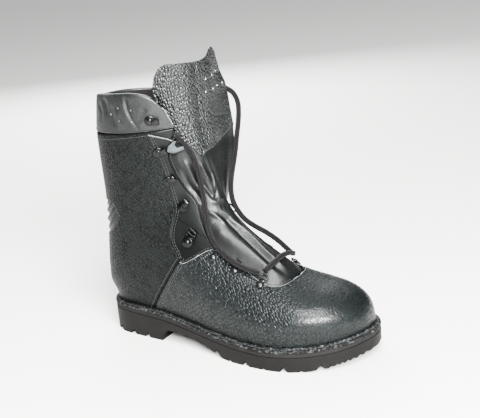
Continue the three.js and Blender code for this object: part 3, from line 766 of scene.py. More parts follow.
def on_side(s, v, side):
    """A grid laid on the outer or the inner side, its faces out on either."""
    return (s[:, ::-1], v[:, ::-1]) if side > 0 else (s, -v)


def constant(value):
    return lambda s: np.full(np.shape(s), float(value))


def edge_line(stations, v_of, side):
    dense = np.linspace(stations[0], stations[-1], int(abs(stations[-1] - stations[0]) * 4) + 2)
    return dense, v_of(dense) * side


def edge_bead(name, lines, thick, material, replaced, ragged=0.0):
    """The light line of a cut edge: a thin uneven bead along lines of points in millimetres."""
    verts, faces = [], []
    for line in lines:
        even = np.arange(0, travelled(line)[-1], 0.6)
        centre = points_at(line, even)
        run = unit(np.gradient(centre, axis=0))
        first = unit(np.cross(run, [0.3, 0.2, 0.93]))
        beat = 1 + ragged * np.sin(even * 2.1) * np.sin(even * 0.83 + 1)
        ends = np.sqrt(np.clip(np.minimum(even, even[-1] - even) / thick, 0.01, 1))
        radius = np.repeat((thick / 2 * beat * ends)[:, None], 8, 1)
        faces += [tuple(len(verts) + k for k in face) for face in tube_faces(len(even), 8, flip=True)]
        angle = np.arange(8) * math.pi / 4
        verts.extend(rings_round(centre, first, np.cross(run, first), angle, radius) * MM)
    piece = add_piece(name, verts, faces, [material])
    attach(piece, "root")
    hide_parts(replaced)
    return piece


lining_rows = np.unique(np.concatenate([
    np.linspace(1, 99, 34), [99.6, 100.5, 101.7, 103], np.linspace(104.5, 246, 48),
    np.linspace(250, QUARTER_TOP, 40),
]))
lining = leather_piece(
    "lining_and_backing",
    [half_grid(lining_rows, constant(1), throat, shares_across(44), side) for side in (-1, 1)],
    [edge_line((99.5, QUARTER_TOP), throat, side) for side in (-1, 1)],
    -1.0, LEATHER_THICK, [SMOOTH_LEATHER, LINING, BLACK_EDGE],
)
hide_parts("upper")

# ---------------------------------------------------------------------------------------------------
# Facings: a strip of smooth leather down each side of the throat that carries the hooks. Its cut
# edge is left raw and shows pale; its lower end curves forward to the throat above the ankle.

FACING_REAR = [
    (199, 0.300), (206, 0.322), (213, 0.332), (222, 0.345), (232, 0.357), (247, 0.37), (265, 0.40),
    (286, 0.445), (305, 0.49),
]
FACING_TOP = [(0.24, 293.0), (0.27, 295), (0.32, 299), (0.385, 302), (0.445, 304), (0.50, 304.6)]
FACING_FOOT = 199


def facing_rear(s):
    return along(FACING_REAR, 1, s)


def facing_grid(side):
    """The strip's rows run up to its sloping top edge."""
    share = even_stations(0, 1, 70)[:, None]
    across = shares_across(16, width=22.0)
    s = FACING_FOOT + (QUARTER_TOP - 0.4 - FACING_FOOT) * share * np.ones(len(across))
    for _ in range(3):
        v = facing_rear(s) + (throat(s) - facing_rear(s)) * across
        s = FACING_FOOT + (along(FACING_TOP, 1, v) - FACING_FOOT) * share
    return on_side(s, v, side)


for side, label in ((-1, "outer"), (1, "inner")):
    s, v = facing_grid(side)
    front = -1 if side < 0 else 0
    rear_edge = edge_line((FACING_FOOT, 245), facing_rear, side)
    facing = leather_piece(
        f"facing_{label}", [(s, v)], [(s[:, front], v[:, front]), (s[-1], v[-1]), rear_edge],
        -0.1, 0.85, [SMOOTH_LEATHER, LINING, RAW_EDGE], roll=0.5,
    )
    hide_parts("upper")

# The top edge was trimmed by hand, and its front corner folds back and shows the pale flesh side:
# s, v of the trim from back to front, and of the fold's outer and inner line.
FACING_TRIM = [(303.9, 0.441), (301.5, 0.375), (298.4, 0.314), (295.1, 0.275)]
FLAP_OUTER = [(295.4, 0.268), (292.5, 0.325), (288.8, 0.338), (285.5, 0.291), (284.3, 0.214)]
FLAP_INNER = [(294.2, 0.255), (293.4, 0.268), (290.8, 0.272), (288.8, 0.262), (287.4, 0.212)]


def spread_out(rows, count):
    """Even points along a table of s and v, as one array of each."""
    columns = np.array(rows, float).T
    stops = np.linspace(0, 1, len(rows))
    return [np.interp(np.linspace(0, 1, count), stops, column) for column in columns]


def trim_line(rows, side, lift):
    s, v = spread_out(rows, 60)
    return skin(s, v * side, lift)


def folded_flap(side):
    across = np.linspace(0, 1, 9)[:, None]
    lines = zip(spread_out(FLAP_OUTER, 40), spread_out(FLAP_INNER, 40))
    s, v = (outer * (1 - across) + inner * across for outer, inner in lines)
    waves = 0.3 * np.sin(np.linspace(0, 1, 40) * 9)
    return skin(s, v * side, 2.0 + 1.2 * np.sin(across * math.pi) + waves)


facing_trims = [trim_line(FACING_TRIM, side, 0.9) for side in (-1, 1)]
edge_bead("facing_trimmed_edge", facing_trims, 1.1, RAW_EDGE, "upper", ragged=0.3)
flap_verts, flap_faces = [], []
for side in (-1, 1):
    points = folded_flap(side)
    faces = grid_faces(*points.shape[:2], offset=len(flap_verts))
    flap_faces += [face[::-1] for face in faces] if side > 0 else faces
    flap_verts.extend(points.reshape(-1, 3) * MM)
flap = add_piece("facing_flaps", flap_verts, flap_faces, [cut_edge("flesh_side", (0.085, 0.095, 0.098))])
wall = flap.modifiers.new("thickness", "SOLIDIFY")
wall.thickness, wall.offset = 0.8 * MM, 0
baked(flap)
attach(flap, "root")
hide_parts("upper")

# ---------------------------------------------------------------------------------------------------
# Quarters: grained hide, 1.3 mm, round the heel and up the shaft, one piece a side, closed down the
# back. Its front edge runs down behind the hooks; a lens is let in over the Achilles tendon.

QUARTER_FRONT = [
    (209.4, 0.525), (214, 0.507), (226, 0.482), (232, 0.462), (238, 0.425), (243, 0.375), (247, 0.345),
    (255, 0.343), (265, 0.36), (275, 0.38), (286, 0.405), (295, 0.425), (305, 0.447),
]
PEBBLED_QUARTER = leather("pebbled_leather_quarter", (0.0068, 0.009, 0.0088), (0.0145, 0.018, 0.0176), 0.44,
                          2.1, 1.15, slant=(0, -30, 0), stretch=1.6, shine=0.17)

# s, v of the Achilles lens's lower and upper edge, from its front tip to the back line.
LENS_LOWER = [(0.70, 271.5), (0.76, 270), (0.83, 270.5), (0.90, 271.5), (1.0, 272)]
LENS_UPPER = [(0.70, 271.5), (0.745, 278), (0.80, 281.5), (0.88, 283), (1.0, 283.3)]


def from_top_line(v):
    """How far round from the top line, whichever way and also past the back line."""
    return np.where(np.abs(v) > 1, 2 - np.abs(v), np.abs(v))


def lens_depth(s, v):
    """Millimetres that the quarter sinks under the edge of the Achilles lens."""
    a = from_top_line(v)
    low, high = along(LENS_LOWER, 1, a), along(LENS_UPPER, 1, a)
    inside = np.minimum(s - low, high - s) * 2.6
    return np.where(a > LENS_LOWER[0][0], -1.9 * smoothstep(inside, -0.6, 0.9), 0.0)


QUARTER_DENTS = [
    (262, -0.60, -0.7, 14, 10, 0.2), (292, -0.68, 0.6, 7, 16, 0.0), (297, -0.58, -0.5, 5, 22, 0.0),
    (262, 0.62, -0.6, 14, 12, -0.2), (293, 0.66, 0.5, 7, 16, 0.0),
]


def quarter_shape(s, v):
    return lens_depth(s, v) + dents(s, v, QUARTER_DENTS)


def quarter_front(s):
    return along(QUARTER_FRONT, 1, s)


quarter_rows = np.unique(np.concatenate([
    even_stations(209.6, 246, 30, tight_start=True), [248, 250],
    np.linspace(250, 304.8, 118),
]))
quarters = leather_piece(
    "quarters",
    [half_grid(quarter_rows, constant(1), quarter_front, shares_across(72), side) for side in (-1, 1)],
    [edge_line((209.6, 304.8), quarter_front, side) for side in (-1, 1)]
    + [(np.full(200, 209.6), np.linspace(0.525, 1, 200) * side) for side in (-1, 1)],
    0.45, 1.3, [PEBBLED_QUARTER, LINING, BLACK_EDGE], shape=quarter_shape,
)
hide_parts("upper")

# ---------------------------------------------------------------------------------------------------
# Vamp: one piece of heavier grained hide over the toes and instep, butted to the quarters and laid
# over the facings' lower ends. Its throat edge is cut raw and stitched; the toe is pulled smooth.

VAMP_REAR = 208.4
# The throat's edge up to the instep, then away from it down to the front of the quarters.
VAMP_TOP = THROAT[:7] + [
    (177, 0.297), (184, 0.308), (190, 0.345), (198, 0.45), (203.5, 0.513), (209, 0.525),
]
PEBBLED_VAMP = leather("pebbled_leather_vamp", (0.0088, 0.0122, 0.0122), (0.016, 0.021, 0.021), 0.31,
                       2.2, 1.15, slant=(0, -38, 0), stretch=1.9, smooth_from=165, shine=0.33)


def vamp_top(s):
    return np.where(np.asarray(s) > VAMP_TOP[0][0], along(VAMP_TOP, 1, s) + 0.002, 0.0)


vamp_rows = np.unique(np.concatenate([
    np.linspace(0, 99, 62), [99.4, 99.9, 100.5, 101.2, 102, 103, 104.2], np.linspace(105.5, 180, 44),
    np.linspace(182, 205, 20), even_stations(205, VAMP_REAR, 4, tight_end=True),
]))
vamp = leather_piece(
    "vamp",
    [half_grid(vamp_rows, constant(1), vamp_top, shares_across(70), side) for side in (-1, 1)],
    [edge_line((99.2, VAMP_REAR), vamp_top, side) for side in (-1, 1)]
    + [(np.full(200, VAMP_REAR), np.linspace(0.525, 1, 200) * side) for side in (-1, 1)],
    0.55, 1.4, [PEBBLED_VAMP, LINING, RAW_EDGE],
)
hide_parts("upper")
vamp_edge_s = np.concatenate([np.linspace(99.2, 104, 40), np.linspace(104.4, VAMP_REAR, 200)])
outer_edge, inner_edge = (
    skin(vamp_edge_s, (vamp_top(vamp_edge_s) + 0.001) * side, 0.1) for side in (-1, 1)
)
vamp_edge = np.vstack([outer_edge[::-1], inner_edge])
edge_bead("vamp_cut_edge", [vamp_edge], 0.8, RAW_EDGE, "upper", ragged=0.2)

# ---------------------------------------------------------------------------------------------------
# Sewing: black bonded thread, 0.7 mm, lockstitched at about 3.5 mm. Double rows hold the vamp and
# quarters to their backing; single rows follow the throat, the facings and the back strip.


def make_stitching():
    """Stitches laid end to end along the given lines."""
    tree = bpy.data.node_groups.new("stitching", "GeometryNodeTree")
    for label, way, kind in (
        ("Lines", "INPUT", "Geometry"), ("Spacing", "INPUT", "Float"), ("Stitch Length", "INPUT", "Float"),
        ("Thread", "INPUT", "Float"), ("Finish", "INPUT", "Material"), ("Stitches", "OUTPUT", "Geometry"),
    ):
        tree.interface.new_socket(label, in_out=way, socket_type="NodeSocket" + kind)
    given = tree.nodes.new("NodeGroupInput").outputs
    curve = add_node(tree, "GeometryNodeMeshToCurve", {"Mesh": given["Lines"]})
    even = add_node(tree, "GeometryNodeResampleCurve", {
        "Curve": curve.outputs["Curve"], "Length": given["Spacing"],
    }, mode="LENGTH")
    stitch = add_node(tree, "GeometryNodeMeshUVSphere", {"Segments": 6, "Rings": 5, "Radius": 0.5})
    size = add_node(tree, "ShaderNodeCombineXYZ", {
        "X": given["Thread"], "Y": given["Thread"], "Z": given["Stitch Length"],
    })
    run = add_node(tree, "GeometryNodeInputTangent", {})
    turn = add_node(tree, "FunctionNodeAlignRotationToVector", {"Vector": run.outputs["Tangent"]}, axis="Z")
    lay = add_node(tree, "GeometryNodeInstanceOnPoints", {
        "Points": even.outputs["Curve"], "Instance": stitch.outputs["Mesh"],
        "Rotation": turn.outputs["Rotation"], "Scale": size.outputs["Vector"],
    })
    real = add_node(tree, "GeometryNodeRealizeInstances", {"Geometry": lay.outputs["Instances"]})
    finish = add_node(tree, "GeometryNodeSetMaterial", {
        "Geometry": real.outputs["Geometry"], "Material": given["Finish"],
    })
    add_node(tree, "NodeGroupOutput", {"Stitches": finish.outputs["Geometry"]})
    return tree


def with_tree(piece, tree, values):
    """The piece's mesh put through a node tree, with inputs set by their identifiers."""
    modifier = piece.modifiers.new(tree.name, "NODES")
    modifier.node_group = tree
    for item in tree.interface.items_tree:
        if item.in_out == "INPUT" and item.name in values:
            modifier[item.identifier] = values[item.name]
    piece.update_tag()
    return baked(piece)


STITCHING = make_stitching()


def thread_finish(name, color):
    """Bonded thread: waxed, with its twist as fine slanting bumps."""
    material, surface = shader(name, color, 0.5, 0.5)
    tree = material.node_tree
    inputs = {"Vector": place_on_piece(tree), "Scale": 900}
    ply = add_node(tree, "ShaderNodeTexWave", inputs, bands_direction="DIAGONAL").outputs["Fac"]
    set_inputs(surface, {
        "Base Color": two_tone(tree, ply, [c * 0.6 for c in color], [c * 1.5 for c in color]),
        "Normal": raised(tree, ply, 0.08),
    })
    return material


BLACK_THREAD = thread_finish("black_thread", (0.042, 0.044, 0.045))


def stitch_rows(name, rows, replaced, thread=0.75, spacing=3.3, length=2.9, finish=None):
    """One piece of stitches along rows of points given in millimetres."""
    verts, edges = [], []
    for row in rows:
        first = len(verts)
        verts.extend(np.asarray(row) * MM)
        edges.extend((k, k + 1) for k in range(first, len(verts) - 1))
    mesh = bpy.data.meshes.new(name)
    mesh.from_pydata([tuple(v) for v in verts], edges, [])
    piece = in_scene(name, mesh)
    with_tree(piece, STITCHING, {
        "Spacing": spacing * MM, "Stitch Length": length * MM, "Thread": thread * MM,
        "Finish": finish or BLACK_THREAD,
    })
    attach(piece, "root")
    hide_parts(replaced)
    return piece


def beside(s, v, distance, lift):
    """A line on the boot at a distance beside the one through s and v; positive is to its left."""
    line, out = last_point(s, v), last_normal(s, v)
    run = unit(np.gradient(line, axis=0))
    return line + np.cross(out, run) * distance + out * lift


def both_sides(stations, v_of, distance, lift):
    """The line beside an edge on the outer and the inner side."""
    return [beside(*edge_line(stations, v_of, side), distance * side, lift) for side in (-1, 1)]


def seam_across(s, start_v, end_v, lift):
    """A line across the boot at one station, on both sides."""
    return [skin(s, np.linspace(start_v, end_v, 120) * side, lift) for side in (-1, 1)]


vamp_seams = (
    seam_across(206.0, 0.50, 0.995, 0.62) + seam_across(203.9, 0.53, 0.995, 0.62)
    + both_sides((101, 180), vamp_top, 2.4, 0.62) + both_sides((188, 207), vamp_top, 2.2, 0.62)
)
stitch_rows("vamp_stitching", vamp_seams, "upper")
back_line = np.linspace(252, 303, 60)
quarter_seams = (
    seam_across(212.0, 0.53, 0.995, 0.52) + seam_across(303.4, 0.46, 1.0, 0.52)
    + both_sides((212, 303), quarter_front, 2.2, 0.52) + both_sides((212, 303), quarter_front, 4.6, 0.52)
    + [skin(rows, 0.965 * side, 0.55) for rows in (back_line[:15], back_line[38:]) for side in (-1, 1)]
)
stitch_rows("quarter_stitching", quarter_seams, "upper")
facing_seams = both_sides((200, 300), throat, 2.6, 0.0)
stitch_rows("facing_stitching", facing_seams, "upper")

# ---------------------------------------------------------------------------------------------------
# Achilles insert: a lens of soft glove leather let into the quarters above the heel, gathered in
# three cross folds so that the boot bends freely at the back of the ankle.

# s and share of the full swell of each fold.
LENS_FOLDS = [(273.4, 0.55), (276.4, 0.8), (279.6, 0.75), (282.0, 0.5)]
LENS_SWELL = 2.6
SOFT_LEATHER = leather("soft_glove_leather", (0.0045, 0.0055, 0.0055), (0.009, 0.011, 0.011), 0.34,
                       0.8, 0.06, waves=0.35)


def lens_shape(s, v):
    folds = 0.0
    for at, rise in LENS_FOLDS:
        folds = folds + rise * LENS_SWELL * np.exp(-(((s - at - 0.5 * np.sin(v * 21)) / 0.75) ** 2))
    return folds * smoothstep(from_top_line(v), 0.70, 0.80)


lens_v = np.linspace(0.70, 1.30, 150)
lens_a = from_top_line(lens_v)
lens_low, lens_high = along(LENS_LOWER, 1, lens_a) - 0.15, along(LENS_UPPER, 1, lens_a) + 0.15
lens_share = np.linspace(0, 1, 56)
lens_s = lens_low[None, :] + (lens_high - lens_low)[None, :] * lens_share[:, None]
insert = leather_piece(
    "achilles_insert", [(lens_s, np.repeat(lens_v[None], 56, 0))], [], -1.0, 0.5,
    [SOFT_LEATHER, LINING, BLACK_EDGE], shape=lens_shape,
)
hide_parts("upper")
lens_edge = []
for edge_table, offset in ((LENS_LOWER, -0.75), (LENS_UPPER, 0.75)):
    edge_s = along(edge_table, 1, lens_a) + offset
    lens_edge.append(skin(edge_s, lens_v, 0.5))
stitch_rows("achilles_stitching", lens_edge, "upper")

# ---------------------------------------------------------------------------------------------------
# Collar: a cuff of soft glove leather filled with foam, sewn to the top of the quarters. It sags and
# dents where hands have pulled the boot on, and carries the top pair of hooks.

# v, s of the rim, going round the back from the inner to the outer front corner.
COLLAR_RIM = [
    (0.24, 307.5), (0.25, 310), (0.27, 312.5), (0.31, 315), (0.37, 316.5), (0.45, 317), (0.85, 317),
    (1, 317.5), (1.15, 320), (1.3, 323), (1.52, 324), (1.59, 323), (1.65, 320.5), (1.7, 317),
    (1.73, 313.5), (1.75, 310), (1.76, 307),
]
COLLAR_FOOT = 305.3
COLLAR_OUT, COLLAR_IN = 0.6, -4.6
COLLAR_SWELL = 2.2
COLLAR_PRESSURE = 4.0
CLOTH_FRAMES = 20
# The first of a section's points that belongs to the cuff's inner face.
COLLAR_INSIDE_FROM = 18

# Height, width, and the v and s of points along a crease.
COLLAR_CREASES = [
    (-1.5, 1.8, [(1.41, 322.5), (1.425, 317.5), (1.455, 312.5), (1.51, 307)]),
    (0.9, 1.6, [(1.385, 321), (1.40, 317), (1.43, 312)]),
    (-1.2, 1.5, [(1.325, 317.5), (1.33, 313.5), (1.345, 309)]),
    (0.8, 1.2, [(1.36, 315.5), (1.37, 312), (1.385, 309.5)]),
    (-1.3, 2.6, [(1.27, 320.5), (1.29, 316), (1.30, 313)]),
    (-1.0, 2.0, [(1.22, 317), (1.25, 313.5), (1.24, 310)]),
    (-0.9, 3.0, [(1.45, 321.5), (1.50, 318.5), (1.57, 317)]),
    (-1.2, 3.4, [(1.05, 316), (1.0, 312), (0.93, 314.5)]),
    (-1.0, 3.0, [(0.72, 315), (0.68, 311), (0.70, 308)]),
    (0.7, 3.2, [(1.60, 318), (1.55, 312), (1.50, 309)]),
    (-1.1, 2.6, [(0.48, 314), (0.52, 311), (0.56, 308.5)]),
]


def crease_height(across, up, across_mm, up_mm, marks):
    """Sum of soft troughs and ridges along given lines; each fades at its ends."""
    total = np.zeros(np.shape(across))
    for height, width, line in marks:
        points = np.array(line, float) * (across_mm, up_mm)
        nearest = np.full(total.shape, 1e9)
        fade = np.zeros(total.shape)
        span = len(points) - 1
        for i, (a, b) in enumerate(zip(points[:-1], points[1:])):
            run = b - a
            t = ((across * across_mm - a[0]) * run[0] + (up * up_mm - a[1]) * run[1]) / (run @ run)
            t = np.clip(t, 0, 1)
            gap = np.hypot(across * across_mm - a[0] - run[0] * t, up * up_mm - a[1] - run[1] * t)
            closer = gap < nearest
            nearest = np.where(closer, gap, nearest)
            fade = np.where(closer, (i + t) / span, fade)
        ends = np.clip(4 * np.minimum(fade, 1 - fade) + 0.25, 0, 1)
        total = total + height * ends * np.exp(-((nearest / width) ** 2))
    return total


def collar_section(v):
    """The cuff's closed section at each v: up the outside, over the rim and down the inside."""
    share = np.concatenate([np.linspace(0, 0.9, 12), [0.95, 0.985, 1.0, 1.0, 1.0, 0.985, 0.95],
                            np.linspace(0.9, 0, 12)])
    turn = np.concatenate([np.zeros(12), [0.04, 0.14, 0.30, 0.5, 0.70, 0.86, 0.96], np.ones(12)])
    rim = along(COLLAR_RIM, 1, v)
    s = COLLAR_FOOT + (rim - COLLAR_FOOT)[:, None] * share
    lift = COLLAR_OUT + (COLLAR_IN - COLLAR_OUT) * turn
    return s, np.repeat(lift[None], len(v), 0)


def vectors_of(mesh, field):
    out = np.zeros(len(mesh.vertices) * 3)
    mesh.vertices.foreach_get(field, out)
    return out.reshape(-1, 3)


def inflate(piece, swell, hold):
    """Blow the cuff up with cloth pressure; hold is 0 where a point is fixed and 1 where it is free."""
    start = vectors_of(piece.data, "co")
    held = piece.vertex_groups.new(name="held")
    for i, free in enumerate(hold):
        if free < 0.05:
            held.add([i], 1.0, "REPLACE")
    cloth = piece.modifiers.new("stuffing", "CLOTH")
    cloth.settings.quality = 5
    cloth.settings.mass = 0.15
    cloth.settings.vertex_group_mass = "held"
    cloth.settings.effector_weights.gravity = 0
    cloth.settings.use_pressure = True
    cloth.settings.uniform_pressure_force = COLLAR_PRESSURE
    for frame_number in range(1, CLOTH_FRAMES + 1):
        scene.frame_set(frame_number)
    graph = bpy.context.evaluated_depsgraph_get()
    end = vectors_of(piece.evaluated_get(graph).data, "co")
    piece.modifiers.clear()
    piece.vertex_groups.clear()
    scene.frame_set(1)
    move = end - start
    far = np.linalg.norm(move, axis=1)
    move *= (np.minimum(far, swell * hold) / np.maximum(far, 1e-9))[:, None]
    piece.data.vertices.foreach_set("co", (start + move).ravel())
    piece.data.update()


def values_of(mesh, name):
    out = np.zeros(len(mesh.vertices))
    mesh.attributes[name].data.foreach_get("value", out)
    return out


COLLAR_LEATHER = leather("collar_leather", (0.009, 0.012, 0.0115), (0.02, 0.024, 0.0235), 0.36,
                         1.1, 0.12, waves=0.6, shine=0.6)


def make_collar():
    first, last = COLLAR_RIM[0][0], COLLAR_RIM[-1][0]
    corner = np.array([0, 0.008, 0.02, 0.036, 0.055, 0.08, 0.11, 0.145, 0.18])
    v = np.concatenate([first + corner, np.linspace(first + 0.21, last - 0.21, 100), (last - corner)[::-1]])
    s, lift = collar_section(v)
    across = np.repeat(v[:, None], s.shape[1], 1)
    points = skin(s, across, lift)
    faces = tube_faces(*s.shape, flip=True)
    piece = add_piece("collar_cuff", points.reshape(-1, 3) * MM, faces, [COLLAR_LEATHER, LINING])
    with_values(piece.data, "round_the_leg", across.ravel())
    with_values(piece.data, "up_the_leg", s.ravel())
    with_values(piece.data, "outside", (lift > -1.5).ravel())
    for face in piece.data.polygons:
        columns = [i % s.shape[1] for i in face.vertices]
        if len(columns) == 4 and min(columns) >= COLLAR_INSIDE_FROM and max(columns) - min(columns) < 3:
            face.material_index = 1
    free_up = smoothstep(s, COLLAR_FOOT + 0.4, COLLAR_FOOT + 3)
    free_ends = smoothstep(np.abs(across - 1), 0.72, 0.50)
    hold = (free_up * (0.15 + 0.85 * free_ends)).ravel()
    inflate(piece, COLLAR_SWELL * MM, hold)
    smooth = piece.modifiers.new("smooth", "SUBSURF")
    smooth.levels = smooth.render_levels = 1
    baked(piece)
    mesh = piece.data
    round_leg, up_leg = values_of(mesh, "round_the_leg"), values_of(mesh, "up_the_leg")
    outside = smoothstep(values_of(mesh, "outside"), 0.0, 1.0)
    height = crease_height(round_leg, up_leg, ACROSS_MM, 3.1, COLLAR_CREASES) * outside
    creased = vectors_of(mesh, "co") + vectors_of(mesh, "normal") * height[:, None] * MM
    mesh.vertices.foreach_set("co", creased.ravel())
    for name in ("round_the_leg", "up_the_leg", "outside"):
        mesh.attributes.remove(mesh.attributes[name])
    mesh.update()
    return piece


def punch(piece, points, outward, radius, depth, edge):
    """Round holes cut into a piece at points, straight in from its face."""
    bm = bmesh.new()
    for point, out in zip(points, outward):
        turn = Vector(out).to_track_quat("Z", "Y").to_matrix().to_4x4()
        place = Matrix.Translation(Vector(point) * MM) @ turn
        bmesh.ops.create_cone(bm, cap_ends=True, segments=14, radius1=radius * MM, radius2=radius * MM,
                              depth=2 * depth * MM, matrix=place)
    punches = piece_of("punches", bm, edge)
    cut = piece.modifiers.new("holes", "BOOLEAN")
    cut.operation = "DIFFERENCE"
    cut.object = punches
    cut.solver = "EXACT"
    cut.material_mode = "TRANSFER"
    baked(piece)
    bpy.data.meshes.remove(punches.data)


# s, v of the collar's vents on the outer side; the inner side mirrors them.
COLLAR_VENTS = [(317.2, 0.635), (316.8, 0.545), (311.3, 0.545), (311.5, 0.629), (313.7, 0.68)]

collar = make_collar()
vent_s = np.array([s for s, _ in COLLAR_VENTS] * 2)
vent_v = np.array([v * side for side in (-1, 1) for _, v in COLLAR_VENTS])
punch(collar, skin(vent_s, vent_v, 2.0), last_normal(vent_s, vent_v), 0.9, 4.0, RAW_EDGE)
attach(collar, "root")
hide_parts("collar")

collar_row = skin(306.1, np.linspace(0.27, 1.73, 160), 0.95)
stitch_rows("collar_stitching", [collar_row], "collar")

# s, v of the collar's front edge, trimmed by hand, from back to front.
COLLAR_TRIM = [(318.2, 0.318), (317.2, 0.301), (315, 0.284), (311.3, 0.262), (307.6, 0.247)]
collar_trims = [trim_line(COLLAR_TRIM, side, 0.6) for side in (-1, 1)]
edge_bead("collar_trimmed_edge", collar_trims, 1.2, RAW_EDGE, "collar", ragged=0.5)

# ---------------------------------------------------------------------------------------------------
# Tongue bellows: soft glove leather, 1 mm, sewn in under both throat edges so that nothing gets past
# the laces. It has more width than the opening and stands up in long rolls and sharp folds.

# s, v of the outer and inner edges, height over the last of the middle, outer and inner edges,
# spread of the inner half, its width.
TONGUE = [
    (88, 0.05, 0.05, -4.5, -4.5, -4.5, 0, 35), (97, 0.17, 0.17, -4.4, -4.4, -4.4, 0, 35),
    (101, 0.21, 0.21, -3, -4.4, -4.4, 0, 35), (106, 0.25, 0.25, 0.8, -4.2, -4.2, 0, 35),
    (114, 0.29, 0.29, 4.5, -4.2, -4.2, 0, 35), (126, 0.31, 0.31, 7, -4.2, -4.2, 0, 35),
    (142, 0.32, 0.32, 7.5, -4.2, -4.2, 0, 35), (160, 0.335, 0.335, 7, -4.2, -4.2, 0, 35),
    (178, 0.355, 0.355, 5, -4.2, -4.2, 0, 35), (192, 0.355, 0.355, 3.8, -4.2, -4.2, 0, 35),
    (202, 0.345, 0.3, 3.4, -4.2, -4.4, 0, 35), (213, 0.335, 0.2, 3.2, -4.2, -1.2, 0.05, 35),
    (222, 0.33, 0.19, 3, -4.2, 0, 0.3, 37), (232, 0.325, 0.19, 3, -4.2, 0, 0.65, 42),
    (244, 0.32, 0.2, 3, -4.2, 0, 0.9, 48), (256, 0.325, 0.2, 2.5, -4.5, 0, 1, 53),
    (270, 0.345, 0.2, 2, -6, 0, 1, 60), (284, 0.35, 0.2, 2, -9, 0, 1, 64),
    (298, 0.345, 0.2, 2, -13, 0, 1, 65), (312, 0.36, 0.2, 2, -12.5, 0, 1, 65),
    (328, 0.385, 0.2, 2, -9, 0, 1, 65),
]
LEAF_BOW_RISE, LEAF_BOW_MIDDLE, LEAF_BOW_CURVE = 1.5, 12, 0.0011


def tongue_point(u, s, height):
    """Points of the tongue's face; the inner half opens out flat as it rises."""
    outer_v, inner_v, middle, outer_rise, inner_rise, spread, width = (
        along(TONGUE, c, s) for c in range(1, 8)
    )
    edge = np.where(u < 0, outer_v, inner_v)
    rise = np.where(u < 0, outer_rise, inner_rise)
    folded = skin(s, u * edge, rise + (middle - rise) * (1 - u * u) ** 2 + height)
    y = u * width
    bow = LEAF_BOW_RISE - LEAF_BOW_CURVE * (y - LEAF_BOW_MIDDLE) ** 2
    front_x, front_z = along(LAST, 3, s), along(LAST, 4, s)
    opened = np.stack([front_x + middle + bow * spread + height, y, front_z], -1)
    share = np.where(u > 0, spread * smoothstep(u, 0, 0.15), 0)[..., None]
    return folded * (1 - share) + opened * share

# Height, width, and the u and s of points along a fold of the bellows.
BELLOWS_FOLDS = [
    (2.3, 5.6, [(-0.62, 203), (-0.55, 193), (-0.47, 180), (-0.42, 165), (-0.38, 146), (-0.37, 130),
                (-0.39, 112)]),
    (-3.2, 2.6, [(-0.34, 205), (-0.24, 196), (-0.20, 180), (-0.21, 162), (-0.24, 146), (-0.29, 130),
                 (-0.30, 112)]),
    (2.2, 1.7, [(-0.12, 192), (-0.05, 180), (-0.03, 172), (-0.05, 160), (-0.09, 146), (-0.13, 130),
                (-0.15, 114)]),
    (-2.0, 5.0, [(0.30, 200), (0.26, 180), (0.25, 160), (0.22, 140), (0.18, 118)]),
    (1.8, 4.0, [(0.55, 205), (0.52, 180), (0.50, 155), (0.45, 125)]),
    (1.3, 2.0, [(-0.36, 221), (-0.26, 217.5), (-0.14, 218), (0.0, 216)]),
    (-1.3, 4.0, [(-0.22, 211), (-0.10, 210), (0.05, 206)]),
    (1.2, 1.6, [(-0.60, 216), (-0.50, 212), (-0.40, 203), (-0.33, 192)]),
    (-1.6, 2.2, [(-0.11, 232), (-0.16, 226), (-0.24, 219)]),
    (1.1, 1.4, [(-0.02, 246), (-0.08, 236), (-0.15, 228)]),
    (-2.0, 1.9, [(-0.50, 268), (-0.45, 252), (-0.38, 240), (-0.32, 230), (-0.27, 221)]),
    (1.4, 1.8, [(-0.66, 276), (-0.60, 262), (-0.56, 246), (-0.50, 232)]),
    (-1.7, 1.7, [(-0.74, 268), (-0.70, 254), (-0.62, 240), (-0.58, 226)]),
    (1.2, 1.5, [(-0.30, 262), (-0.26, 250), (-0.22, 240)]),
    (1.0, 2.2, [(-0.78, 281), (-0.72, 270), (-0.70, 258), (-0.64, 250)]),
    (-1.2, 2.2, [(-0.14, 262), (-0.12, 250), (-0.06, 240)]),
    (1.0, 2.0, [(0.10, 262), (0.12, 240), (0.20, 218)]),
    (-0.9, 2.5, [(0.35, 258), (0.40, 236), (0.50, 214)]),
]


def bellows_shape(u, s):
    return crease_height(u, s, 33, 1.0, BELLOWS_FOLDS)


def soft_sheet(name, points, materials, thick):
    """A sheet of hide through a grid of points, with its thickness under its face."""
    piece = add_piece(name, points.reshape(-1, 3) * MM, grid_faces(*points.shape[:2]), materials)
    with_thickness(piece, thick)
    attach(piece, "root")
    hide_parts("tongue")
    return piece


bellows_u, bellows_s = np.meshgrid(np.linspace(-1, 1, 130), np.linspace(88, 301, 215))
bellows_points = tongue_point(bellows_u, bellows_s, bellows_shape(bellows_u, bellows_s))
BELLOWS_LEATHER = leather("bellows_leather", (0.0045, 0.0055, 0.0055), (0.009, 0.011, 0.011), 0.40,
                          0.8, 0.05, waves=0.3, shine=0.5)
soft_sheet("tongue_bellows", bellows_points, [BELLOWS_LEATHER, LINING, BLACK_EDGE], 1.0)

# ---------------------------------------------------------------------------------------------------
# Tongue leaf: a stiffer piece of the grained hide sewn over the top of the bellows. It stands above
# the collar, opens towards the inner side, and has eight small holes that let the shin breathe.

